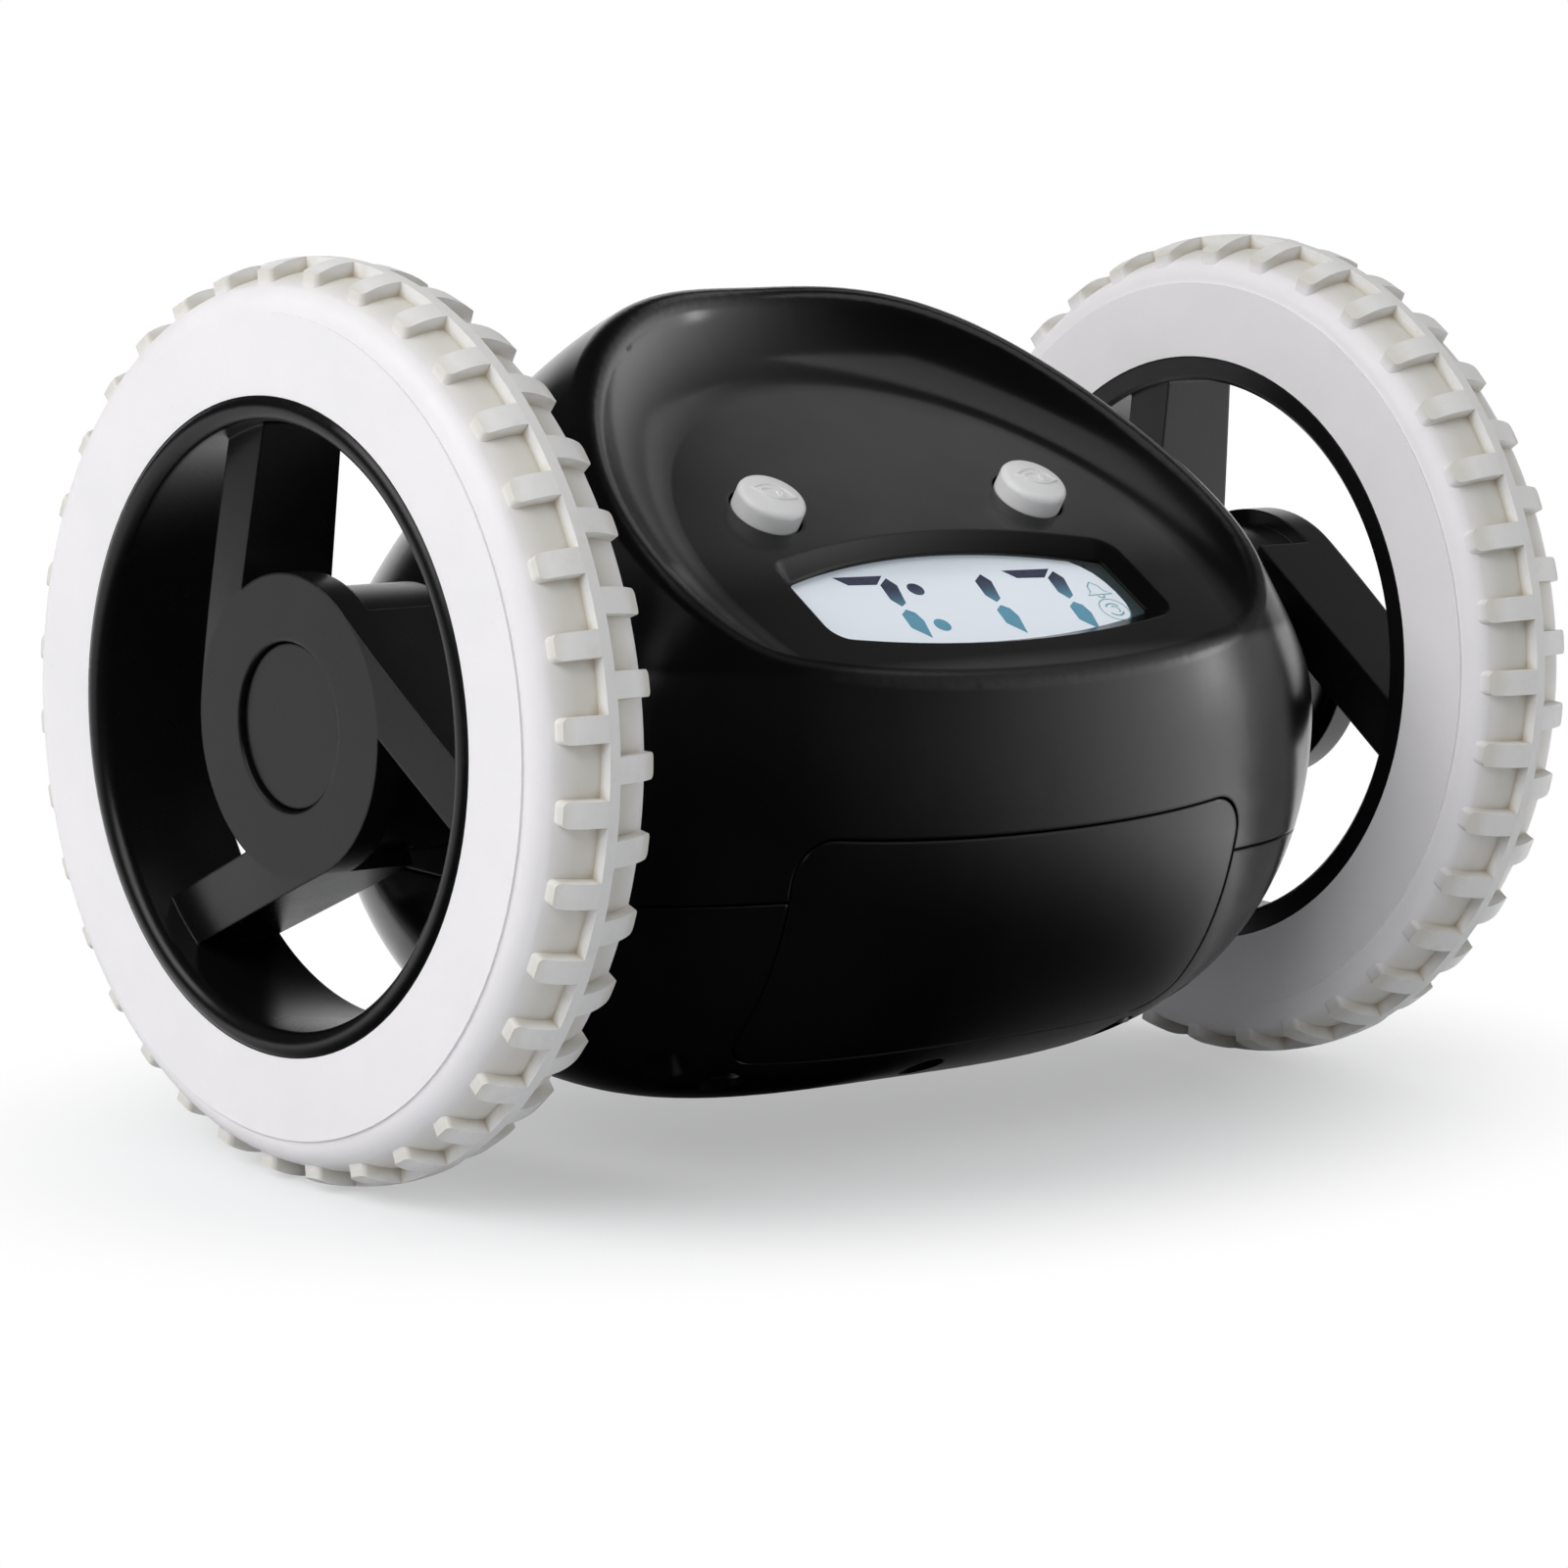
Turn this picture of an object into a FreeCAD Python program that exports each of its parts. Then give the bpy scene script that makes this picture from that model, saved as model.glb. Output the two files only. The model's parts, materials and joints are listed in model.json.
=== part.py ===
import FreeCAD, Part
import math
import os

# A two-wheeled alarm clock that rolls away when it rings.
# Frame: +X along the wheel axle, -Y is the side that the clock face looks to, +Z up.
# The origin is on the floor, midway between the wheels and straight under the axle.
# Lengths are in millimetres and angles in degrees. Places along the axle are measured
# outwards from the middle of the clock: each side piece is made on +X and mirrored.

# ---------------------------------------------------------------- wheels
WHEEL_RADIUS = 44.45
TRACK_WIDTH = 134.6
TYRE_WIDTH = 13.5
TYRE_BORE_RADIUS = 31.5
SIDE_FACE_RADIUS = 39.4
SIDE_STEP = 0.25
SHOULDER_WIDTH = 1.8
SHOULDER_BULGE = 0.4
CROWN_DROP = 1.15
LUG_HEIGHT = 1.4
LUG_COUNT = 36
LUG_WIDTH = 2.5
LUG_OUTER_MARGIN = 1.9
LUG_INNER_MARGIN = 1.0
LUG_DROP = 1.3
LUG_CORNER = 0.6
LUG_PHASE = 3.1
RIB_WIDTH = 1.2
RIM_THICKNESS = 2.5
RIM_LIP = 0.4
LIP_ROUND = 1.4
HUB_DISC_RADIUS = 14.65
HUB_FACE_DEPTH = 2.0
HUB_DISC_THICKNESS = 3.2
SPOKE_COUNT = 3
SPOKE_WIDTH = 5.6
SPOKE_PHASE = 5.0
SPOKE_DISH_DEPTH = 3.3
SPOKE_BACK_MARGIN = 1.0
HUB_TUBE_RADIUS = 13.0
HUB_TUBE_WALL = 1.6
HUB_BOSS_RADIUS = 4.5
HUB_WEB = 1.0
HEAD_CLEARANCE = 0.3
CAP_RADIUS = 8.1
CAP_THICKNESS = 1.0
CAP_DEPTH = 0.6
POCKET_ROUND = 0.3

# ---------------------------------------------------------------- axle, gears and motors
AXLE_RADIUS = 2.0
RUNNING_FIT = 0.05
GEAR_MODULE = 0.6
WHEEL_GEAR_TEETH = 36
IDLER_GEAR_TEETH = 36
PINION_TEETH = 12
PRESSURE_ANGLE = 25.0
TOOTH_BACKLASH = 0.14
TIP_SHARE = 0.9
ROOT_SHARE = 1.2
FAST_GEAR_WIDTH = 3.0
SLOW_GEAR_WIDTH = 4.0
GEAR_SIDE_GAP = 0.7
PLATE_THICKNESS = 1.5
INNER_PLATE_X = 28.0
PLATE_MARGIN = 3.6
POST_RADIUS = 2.0
PIN_RADIUS = 1.0
CLIP_THICKNESS = 0.6
CLIP_RADIUS = 3.4
MOTOR_Y = 11.0
MOTOR_Z = 24.5
MOTOR_RADIUS = 10.0
MOTOR_FLAT = 7.6
MOTOR_LENGTH = 24.0
MOTOR_WALL = 0.8
MOTOR_CAP_THICKNESS = 1.6
MOTOR_SHAFT_RADIUS = 1.0
MAGNET_THICKNESS = 1.6
ARMATURE_RADIUS = 6.2
ARMATURE_LENGTH = 12.0
COMMUTATOR_RADIUS = 2.4

# ---------------------------------------------------------------- casing
HALF_LENGTH = 50.0
CORE_Y = -5.94
CORE_Z = 41.68
REACH_FRONT = 30.4
REACH_BOTTOM = 37.3
REACH_BACK = 42.0
REACH_TOP = 46.8
END_RADIUS = 13.0
END_SHIFT_Y = 2.1
END_SHIFT_Z = -1.93
FULLNESS_FRONT = 2.0
FULLNESS_BOTTOM = 3.7
FULLNESS_BACK = 2.42
FULLNESS_TOP = 2.76
SHOULDER_FRONT = 0.4
SHOULDER_SIDE = 0.5
SHOULDER_TOP = 1.3
WALL = 2.0
PARTING_Z = 29.0
PARTING_GAP = 0.3
PARTING_DEPTH = 0.5
FACE_TILT = 30.5
FACE_DISTANCE = 23.1
DISH_CENTRE = -12.0
DISH_FLOOR_RADIUS = 30.5
DISH_CURL_RADIUS = 12.0
DISH_CURL_ANGLE = 58.0
RIM_ROUND = 2.2
HUB_GAP = 0.5
AXLE_BOSS_RADIUS = 6.8
BUSH_RADIUS = 3.5

# ---------------------------------------------------------------- display and buttons
WINDOW_WIDTH = 44.8
WINDOW_SIDE_HEIGHT = 12.0
WINDOW_TOP_RISE = 3.4
WINDOW_BOTTOM_RISE = 2.5
WINDOW_BEVEL = 1.9
WINDOW_CORNER = 2.6
WINDOW_V = -2.8
LENS_DEPTH = 1.5
LENS_MARGIN = 1.6
LENS_GAP = 0.1
LENS_THICKNESS = 0.6
PANEL_WIDTH = 42.6
PANEL_HEIGHT = 15.4
PANEL_THICKNESS = 2.8
PANEL_GAP = 0.05
FRAME_WALL = 0.9
BOARD_DEPTH = 8.0
BOARD_THICKNESS = 1.6
BOARD_HALF_WIDTH = 29.5
BOARD_LOW_V = -14.5
BOARD_HIGH_V = 16.0
BOARD_BOSS_X = 27.2
BOARD_BOSS_V = (-10.5, 13.2)
BOARD_BOSS_RADIUS = 2.2
BUTTON_X = 17.3
BUTTON_V = 11.2
BUTTON_RADIUS = 3.6
BUTTON_HEIGHT = 2.5
BUTTON_TRAVEL = 0.8
BUTTON_GAP = 0.3
BUTTON_EDGE_ROUND = 0.7
BUTTON_DOME_RADIUS = 14.0
FLANGE_RADIUS = 4.6
FLANGE_FLAT = 4.0
FLANGE_THICKNESS = 0.8
FLANGE_PLAY = 0.3
STEM_RADIUS = 2.4
SWITCH_SIZE = 5.0
SWITCH_HEIGHT = 2.6
PLUNGER_RADIUS = 1.4
PLUNGER_HEIGHT = 0.8

# ---------------------------------------------------------------- battery compartment
DOOR_TILT = 27.5
DOOR_Y = -29.4
DOOR_Z = 22.6
DOOR_WIDTH = 59.0
DOOR_HEIGHT = 26.6
DOOR_CORNER = 4.5
DOOR_GAP = 0.3
DOOR_SEAT_GAP = 0.12
LEDGE_THICKNESS = 1.2
LEDGE_MARGIN = 2.0
DOOR_RIB_X = 11.0
CELL_RADIUS = 5.25
CELL_LENGTH = 44.5
CELL_NUB_LENGTH = 0.9
CELL_NUB_RADIUS = 1.9
CELL_PITCH = 10.9
CELL_SET_BACK = 6.7
CELL_PLAY = 0.15
TRAY_WALL = 1.3
SPRING_SPACE = 4.0
SPRING_RADIUS = 2.4
SPRING_WIRE = 0.3
CONTACT_THICKNESS = 0.4
TRAY_SCREW_X = (-26.0, 0.0, 26.0)
TRAY_SCREW_Y = -18.5
TRAY_LUG_RADIUS = 2.8
TRAY_LUG_Z = 12.2

# ---------------------------------------------------------------- rear controls and speaker
KEY_Z = 37.0
KEY_X = (-16.0, -5.0, 6.0)
KEY_RADIUS = 2.8
KEY_PROUD = 0.9
KEY_TRAVEL = 0.5
KEY_FLANGE_Y = 31.0
KEY_FLANGE_RADIUS = 3.6
SLIDER_X = 17.0
SLIDER_TRAVEL = 2.5
SLIDER_WIDTH = 3.4
SLIDER_HEIGHT = 4.0
SLIDER_PROUD = 0.8
SLIDER_BODY_HEIGHT = 3.7
REAR_BOARD_Y = 25.6
REAR_BOARD_HALF_WIDTH = 25.0
REAR_BOARD_LOW_Z = 33.6
REAR_BOARD_HIGH_Z = 43.8
REAR_BOSS_X = 22.6
REAR_BOSS_Z = (35.7, 41.7)
REAR_BOSS_RADIUS = 1.9
SPEAKER_DIRECTION = 24.0
SPEAKER_TILT = 19.0
SPEAKER_RADIUS = 8.5
SPEAKER_RIM_DEPTH = 1.6
SPEAKER_MAGNET_RADIUS = 4.3
SPEAKER_THICKNESS = 3.0
SPEAKER_SET_BACK = 1.4
COLLAR_WALL = 1.3
GRILLE_HOLE_RADIUS = 0.8
GRILLE_PITCH = 3.2
GRILLE_RADIUS = 6.6
BALLAST_HALF_LENGTH = 15.0
BALLAST_FRONT_Y = 18.0
BALLAST_TOP_Z = 28.2
BALLAST_GAP = 0.4
BALLAST_RIB = 1.2
TONGUE_X = 22.5
TONGUE_WIDTH = 9.0
TONGUE_HEIGHT = 3.0
TONGUE_THICKNESS = 1.3
SCREW_RADIUS = 1.0
SCREW_HEAD_RADIUS = 1.9
SCREW_HEAD_HEIGHT = 1.2
SCREW_CLEARANCE = 0.2
WELL_RADIUS = 2.3
COLUMN_RADIUS = 3.5
COLUMN_X = 33.6
COLUMN_Y = -19.0
COLUMN_SEAT_Z = 16.0
COLUMN_TOP_Z = 38.0
WEB_THICKNESS = 1.6

# ---------------------------------------------------------------- values that follow
OUTER_X = TRACK_WIDTH / 2
TYRE_INNER_X = OUTER_X - TYRE_WIDTH
DRUM_RADIUS = WHEEL_RADIUS - LUG_HEIGHT
HUB_FACE_X = OUTER_X - HUB_FACE_DEPTH
HUB_BACK_X = HUB_FACE_X - HUB_DISC_THICKNESS
RIM_INNER_RADIUS = TYRE_BORE_RADIUS - RIM_THICKNESS
TUBE_END_X = HALF_LENGTH + HUB_GAP
CAP_BACK_X = HUB_FACE_X - CAP_DEPTH - CAP_THICKNESS
HUB_SEAT_X = CAP_BACK_X - SCREW_HEAD_HEIGHT - HEAD_CLEARANCE
AXLE_END_X = HUB_SEAT_X - HUB_WEB
FAST_X = INNER_PLATE_X + PLATE_THICKNESS + GEAR_SIDE_GAP
SLOW_X = FAST_X + FAST_GEAR_WIDTH + GEAR_SIDE_GAP
OUTER_PLATE_X = SLOW_X + SLOW_GEAR_WIDTH + GEAR_SIDE_GAP
FRAME_END_X = OUTER_PLATE_X + PLATE_THICKNESS
MOTOR_BACK_X = INNER_PLATE_X - MOTOR_LENGTH
GEAR_DISTANCE = GEAR_MODULE * (WHEEL_GEAR_TEETH + PINION_TEETH) / 2
AXLE_POINT = (0.0, WHEEL_RADIUS)
MOTOR_POINT = (MOTOR_Y, MOTOR_Z)


def vec(x, y, z):
    return FreeCAD.Vector(x, y, z)


def save(name, shape):
    shape.exportStep("parts/" + name + ".step")


def save_pair(name, shape):
    """One node on each side of the clock, from the piece modelled on +X."""
    save(name + "_right", shape)
    save(name + "_left", shape.mirror(vec(0, 0, 0), vec(1, 0, 0)))


def both_sides(shape):
    return [shape, shape.mirror(vec(0, 0, 0), vec(1, 0, 0))]


def box(x0, x1, y0, y1, z0, z1):
    return Part.makeBox(x1 - x0, y1 - y0, z1 - z0, vec(x0, y0, z0))


def rod(x0, x1, y, z, radius):
    """A round bar along X."""
    return Part.makeCylinder(radius, x1 - x0, vec(x0, y, z), vec(1, 0, 0))


def axle_rod(x0, x1, radius):
    return rod(x0, x1, 0, WHEEL_RADIUS, radius)


def spin(points):
    """Solid of revolution round the axle from (x, radius) corners."""
    corners = [vec(x, 0, WHEEL_RADIUS + radius) for x, radius in points]
    corners.append(corners[0])
    face = Part.Face(Part.makePolygon(corners))
    return face.revolve(vec(0, 0, WHEEL_RADIUS), vec(1, 0, 0), 360)


def turned(shape, angle):
    """Copy of a wheel piece, turned round the axle."""
    copy = shape.copy()
    copy.rotate(vec(0, 0, WHEEL_RADIUS), vec(1, 0, 0), angle)
    return copy


def fused(shapes):
    return shapes[0].multiFuse(shapes[1:]).removeSplitter()


# ================================================================ wheels
def crown(half, radius, drop):
    """Slightly barrelled solid whose radius falls by a drop at both ends of the crown."""
    crest = half - SHOULDER_WIDTH
    bow = (crest * crest + drop * drop) / (2 * drop)
    end = radius - bow + math.sqrt(bow * bow - half * half)
    edges = [
        Part.Arc(vec(-half, 0, end), vec(0, 0, radius), vec(half, 0, end)).toShape(),
        Part.LineSegment(vec(half, 0, end), vec(half, 0, 0)).toShape(),
        Part.LineSegment(vec(half, 0, 0), vec(-half, 0, 0)).toShape(),
        Part.LineSegment(vec(-half, 0, 0), vec(-half, 0, end)).toShape(),
    ]
    return Part.Face(Part.Wire(edges)).revolve(vec(0, 0, 0), vec(1, 0, 0), 360)


def tyre_drum():
    """Tyre without its tread: a barrelled crown, round shoulders and flat side faces."""
    half = TYRE_WIDTH / 2
    crest_x = half - SHOULDER_WIDTH
    crest_radius = DRUM_RADIUS - CROWN_DROP
    side_x = half - SIDE_STEP
    run = math.hypot(side_x - crest_x, crest_radius - SIDE_FACE_RADIUS)
    bend_x = (side_x + crest_x) / 2 + SHOULDER_BULGE * (crest_radius - SIDE_FACE_RADIUS) / run
    bend_radius = (crest_radius + SIDE_FACE_RADIUS) / 2 + SHOULDER_BULGE * (side_x - crest_x) / run
    crest, near = vec(crest_x, 0, crest_radius), vec(-crest_x, 0, crest_radius)
    top = vec(0, 0, DRUM_RADIUS)
    edges = [Part.Arc(near, top, crest).toShape()]
    for side, start in ((1, crest), (-1, near)):
        bend = vec(side * bend_x, 0, bend_radius)
        inner = vec(side * side_x, 0, SIDE_FACE_RADIUS)
        outer = vec(side * half, 0, SIDE_FACE_RADIUS)
        bore = vec(side * half, 0, TYRE_BORE_RADIUS)
        edges.append(Part.Arc(start, bend, inner).toShape())
        edges.append(Part.LineSegment(inner, outer).toShape())
        edges.append(Part.LineSegment(outer, bore).toShape())
    bottom = Part.LineSegment(vec(-half, 0, TYRE_BORE_RADIUS), vec(half, 0, TYRE_BORE_RADIUS))
    edges.append(bottom.toShape())
    face = Part.Face(Part.Wire(Part.sortEdges(edges)[0]))
    drum = face.revolve(vec(0, 0, 0), vec(1, 0, 0), 360)
    drum.translate(vec(OUTER_X - half, 0, WHEEL_RADIUS))
    return drum


def lug(reach_out):
    """One tread bar from the middle rib towards a shoulder, with rounded corners."""
    bottom = DRUM_RADIUS - CROWN_DROP - LUG_HEIGHT
    bar = Part.makeBox(reach_out, LUG_WIDTH, LUG_HEIGHT * 4, vec(0, -LUG_WIDTH / 2, bottom))
    ends = [e for e in bar.Edges if e.BoundBox.XMin > reach_out / 2 and e.BoundBox.ZLength > LUG_HEIGHT]
    return bar.makeFillet(LUG_CORNER, ends)


def tread():
    """Bars on both sides of a middle rib, half a pitch apart, trimmed to the tyre's crown."""
    half = TYRE_WIDTH / 2
    pitch = 360.0 / LUG_COUNT
    limit = crown(half, WHEEL_RADIUS, LUG_DROP)
    outward = lug(half - LUG_OUTER_MARGIN).common(limit)
    inward = lug(half - LUG_INNER_MARGIN).common(limit).mirror(vec(0, 0, 0), vec(1, 0, 0))
    bars = []
    for i in range(LUG_COUNT):
        near = outward.copy()
        near.rotate(vec(0, 0, 0), vec(1, 0, 0), pitch * i + LUG_PHASE)
        far = inward.copy()
        far.rotate(vec(0, 0, 0), vec(1, 0, 0), pitch * (i + 0.5) + LUG_PHASE)
        bars.append(near)
        bars.append(far)
    start = vec(-RIB_WIDTH / 2, 0, 0)
    rib = Part.makeCylinder(WHEEL_RADIUS, RIB_WIDTH, start, vec(1, 0, 0))
    core = Part.makeCylinder(DRUM_RADIUS - LUG_HEIGHT, TYRE_WIDTH, vec(-half, 0, 0), vec(1, 0, 0))
    bars.append(rib.cut(core))
    for bar in bars:
        bar.translate(vec(OUTER_X - half, 0, WHEEL_RADIUS))
    return bars


def tyre():
    return fused([tyre_drum()] + tread())


def spoke():
    """One tangential spoke: its outer edge touches the hub disc's circle."""
    back = TYRE_INNER_X + SPOKE_BACK_MARGIN
    reach_out = RIM_INNER_RADIUS + RIM_THICKNESS / 3
    y1 = HUB_DISC_RADIUS
    y0 = y1 - SPOKE_WIDTH
    bar = box(back, HUB_FACE_X, y0, y1, WHEEL_RADIUS, WHEEL_RADIUS + reach_out)
    return bar.common(axle_rod(back, HUB_FACE_X, reach_out))


def dish():
    """Space in front of the spokes, which lean back from the hub disc to the rim."""
    rim_x = OUTER_X - SPOKE_DISH_DEPTH
    beyond = OUTER_X + 1.0
    return spin([
        (HUB_FACE_X, HUB_DISC_RADIUS),
        (rim_x, RIM_INNER_RADIUS),
        (rim_x, RIM_INNER_RADIUS + 1.2),
        (beyond, RIM_INNER_RADIUS + 1.2),
        (beyond, HUB_DISC_RADIUS),
    ])


def rim():
    """Ring that carries the tyre, with a lip rolled over at the outer face."""
    lip = RIM_LIP
    inner = RIM_INNER_RADIUS
    reach = LIP_ROUND - lip
    rise = math.sqrt(LIP_ROUND * LIP_ROUND - reach * reach)
    bend = (math.atan2(rise, reach) - math.pi / 2) / 2
    roll_x = OUTER_X - reach
    roll_z = WHEEL_RADIUS + inner + LIP_ROUND
    corners = [
        vec(roll_x, 0, WHEEL_RADIUS + inner),
        vec(TYRE_INNER_X + lip, 0, WHEEL_RADIUS + inner),
        vec(TYRE_INNER_X, 0, WHEEL_RADIUS + inner + lip),
        vec(TYRE_INNER_X, 0, WHEEL_RADIUS + TYRE_BORE_RADIUS),
        vec(OUTER_X, 0, WHEEL_RADIUS + TYRE_BORE_RADIUS),
        vec(OUTER_X, 0, roll_z + rise),
    ]
    middle = vec(roll_x + LIP_ROUND * math.cos(bend), 0, roll_z + LIP_ROUND * math.sin(bend))
    edges = [Part.LineSegment(corners[i], corners[i + 1]).toShape() for i in range(5)]
    edges.append(Part.Arc(corners[5], middle, corners[0]).toShape())
    face = Part.Face(Part.Wire(edges))
    return face.revolve(vec(0, 0, WHEEL_RADIUS), vec(1, 0, 0), 360)


def hub_core():
    """Disc, tube towards the casing and the boss that grips the axle."""
    disc = axle_rod(HUB_BACK_X, HUB_FACE_X, HUB_DISC_RADIUS)
    tube = axle_rod(TUBE_END_X, HUB_BACK_X, HUB_TUBE_RADIUS)
    hollow = axle_rod(TUBE_END_X - 1, HUB_BACK_X, HUB_TUBE_RADIUS - HUB_TUBE_WALL)
    boss = axle_rod(TUBE_END_X + 0.3, HUB_BACK_X, HUB_BOSS_RADIUS)
    return [disc, tube.cut(hollow), boss]


def hub():
    spokes = []
    for i in range(SPOKE_COUNT):
        spokes.append(turned(spoke(), SPOKE_PHASE + 360.0 * i / SPOKE_COUNT))
    arms = fused(spokes).cut(dish())
    arms = arms.cut(axle_rod(TUBE_END_X - 1, HUB_BACK_X, HUB_TUBE_RADIUS - 0.5))
    body = fused([arms, rim()] + hub_core())
    pocket = axle_rod(CAP_BACK_X, HUB_FACE_X + 1, CAP_RADIUS)
    head_room = axle_rod(HUB_SEAT_X, HUB_FACE_X, SCREW_HEAD_RADIUS + HEAD_CLEARANCE)
    bore = axle_rod(TUBE_END_X - 1, AXLE_END_X, AXLE_RADIUS)
    screw_way = axle_rod(AXLE_END_X - 1, HUB_FACE_X, SCREW_RADIUS + SCREW_CLEARANCE)
    body = body.cut(fused([pocket, head_room, bore, screw_way])).removeSplitter()
    return body.makeFillet(POCKET_ROUND, pocket_edges(body))


def pocket_edges(body):
    """The round edge of the cap's pocket in the hub's face."""
    rounds = [e for e in body.Edges if e.Curve.TypeId == "Part::GeomCircle"]
    same = [e for e in rounds if abs(e.Curve.Radius - CAP_RADIUS) < 0.01]
    return [e for e in same if e.BoundBox.XMin > HUB_FACE_X - 0.01]


def hub_cap():
    """Slightly domed disc that hides the axle screw."""
    x1 = HUB_FACE_X - CAP_DEPTH
    cap = axle_rod(x1 - CAP_THICKNESS, x1, CAP_RADIUS)
    return cap.makeChamfer(0.25, [cap.Edges[0]])


def screw_along_x(x_head, x_tip, y, z):
    """Screw with its head at x_head and its tip at x_tip."""
    way = 1 if x_tip > x_head else -1
    axis = vec(way, 0, 0)
    head = Part.makeCylinder(SCREW_HEAD_RADIUS, SCREW_HEAD_HEIGHT, vec(x_head, y, z), axis)
    shank = Part.makeCylinder(SCREW_RADIUS, abs(x_tip - x_head), vec(x_head, y, z), axis)
    return head.fuse(shank).removeSplitter()


def axle():
    """Steel axle, tapped at its outer end for the hub screw."""
    inner = INNER_PLATE_X - 2 * CLIP_THICKNESS
    bar = axle_rod(inner, AXLE_END_X, AXLE_RADIUS)
    groove = axle_rod(inner + CLIP_THICKNESS / 2, inner + CLIP_THICKNESS * 1.5, AXLE_RADIUS + 1)
    groove = groove.cut(axle_rod(inner, inner + 2, AXLE_RADIUS - 0.4))
    return bar.cut(groove).cut(axle_rod(AXLE_END_X - 6, AXLE_END_X + 1, SCREW_RADIUS))


def axle_clip():
    """Spring clip in the axle's groove that keeps the axle from pulling out."""
    x0 = INNER_PLATE_X - 1.5 * CLIP_THICKNESS
    ring = axle_rod(x0, x0 + CLIP_THICKNESS, CLIP_RADIUS)
    ring = ring.cut(axle_rod(x0 - 1, x0 + 2, AXLE_RADIUS - 0.4))
    mouth = box(x0 - 1, x0 + 2, -1.2, 1.2, WHEEL_RADIUS, WHEEL_RADIUS + CLIP_RADIUS + 1)
    return ring.cut(mouth)


def make_wheels():
    save_pair("tyre", tyre())
    save_pair("wheel_hub", hub())
    save_pair("hub_cap", hub_cap())
    save_pair("axle", axle())
    save_pair("axle_clip", axle_clip())
    head_x = HUB_SEAT_X + SCREW_HEAD_HEIGHT
    save_pair("axle_screw", screw_along_x(head_x, AXLE_END_X - 5.5, 0, WHEEL_RADIUS))


# ================================================================ gears
def involute(base, radius):
    """Angle that an involute has turned through when it reaches a radius."""
    return math.sqrt((radius / base) ** 2 - 1) - math.acos(base / radius)


def tooth_half_angle(teeth, radius):
    pitch = GEAR_MODULE * teeth / 2
    base = pitch * math.cos(math.radians(PRESSURE_ANGLE))
    half_thickness = (math.pi * GEAR_MODULE / 2 - TOOTH_BACKLASH) / 2
    at_pitch = half_thickness / pitch + involute(base, pitch)
    if radius <= base:
        return at_pitch
    return at_pitch - involute(base, radius)


def gear(teeth, x0, x1, centre, phase):
    """Spur gear along X with a tooth pointing in direction phase (radians from +Y to +Z)."""
    pitch = GEAR_MODULE * teeth / 2
    base = pitch * math.cos(math.radians(PRESSURE_ANGLE))
    root = pitch - ROOT_SHARE * GEAR_MODULE
    tip = pitch + TIP_SHARE * GEAR_MODULE
    foot = max(base, root)
    flank = [foot + (tip - foot) * k / 4.0 for k in range(5)]
    if root < base:
        flank.insert(0, root)
    corners = []
    for i in range(teeth):
        middle = phase + 2 * math.pi * i / teeth
        for r in flank:
            corners.append((r, middle - tooth_half_angle(teeth, r)))
        for r in reversed(flank):
            corners.append((r, middle + tooth_half_angle(teeth, r)))
    points = []
    for r, angle in corners:
        points.append(vec(x0, centre[0] + r * math.cos(angle), centre[1] + r * math.sin(angle)))
    points.append(points[0])
    return Part.Face(Part.makePolygon(points)).extrude(vec(x1 - x0, 0, 0))


def idler_point():
    """Shaft of the double gear: a gear distance from both the axle and the motor."""
    dy = MOTOR_POINT[0] - AXLE_POINT[0]
    dz = MOTOR_POINT[1] - AXLE_POINT[1]
    span = math.hypot(dy, dz)
    rise = math.sqrt(GEAR_DISTANCE ** 2 - (span / 2) ** 2)
    y = AXLE_POINT[0] + dy / 2 - dz / span * rise
    z = AXLE_POINT[1] + dz / 2 + dy / span * rise
    return (y, z)


def direction(start, end):
    return math.atan2(end[1] - start[1], end[0] - start[0])


def wheel_gear():
    """Gear on the axle, with a tooth that points at the double gear."""
    phase = direction(AXLE_POINT, idler_point())
    body = gear(WHEEL_GEAR_TEETH, SLOW_X, SLOW_X + SLOW_GEAR_WIDTH, AXLE_POINT, phase)
    groove = axle_rod(SLOW_X + 2.6, SLOW_X + SLOW_GEAR_WIDTH + 1, 8.2)
    groove = groove.cut(axle_rod(SLOW_X, SLOW_X + SLOW_GEAR_WIDTH + 1, 4.2))
    bore = axle_rod(SLOW_X - 1, SLOW_X + SLOW_GEAR_WIDTH + 1, AXLE_RADIUS)
    return body.cut(groove).cut(bore)


def double_gear():
    """Large gear driven by the motor and the small gear that drives the wheel gear."""
    centre = idler_point()
    big_phase = direction(centre, MOTOR_POINT)
    small_phase = direction(centre, AXLE_POINT) + math.pi / PINION_TEETH
    big = gear(IDLER_GEAR_TEETH, FAST_X, FAST_X + FAST_GEAR_WIDTH, centre, big_phase)
    end = SLOW_X + SLOW_GEAR_WIDTH
    small = gear(PINION_TEETH, FAST_X + FAST_GEAR_WIDTH, end, centre, small_phase)
    bore = rod(FAST_X - 1, end + 1, centre[0], centre[1], PIN_RADIUS + RUNNING_FIT)
    return big.fuse(small).cut(bore)


def motor_pinion():
    phase = direction(MOTOR_POINT, idler_point()) + math.pi / PINION_TEETH
    body = gear(PINION_TEETH, FAST_X, FAST_X + FAST_GEAR_WIDTH, MOTOR_POINT, phase)
    bore = rod(FAST_X - 1, FAST_X + 5, MOTOR_Y, MOTOR_Z, MOTOR_SHAFT_RADIUS)
    return body.cut(bore)


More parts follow.
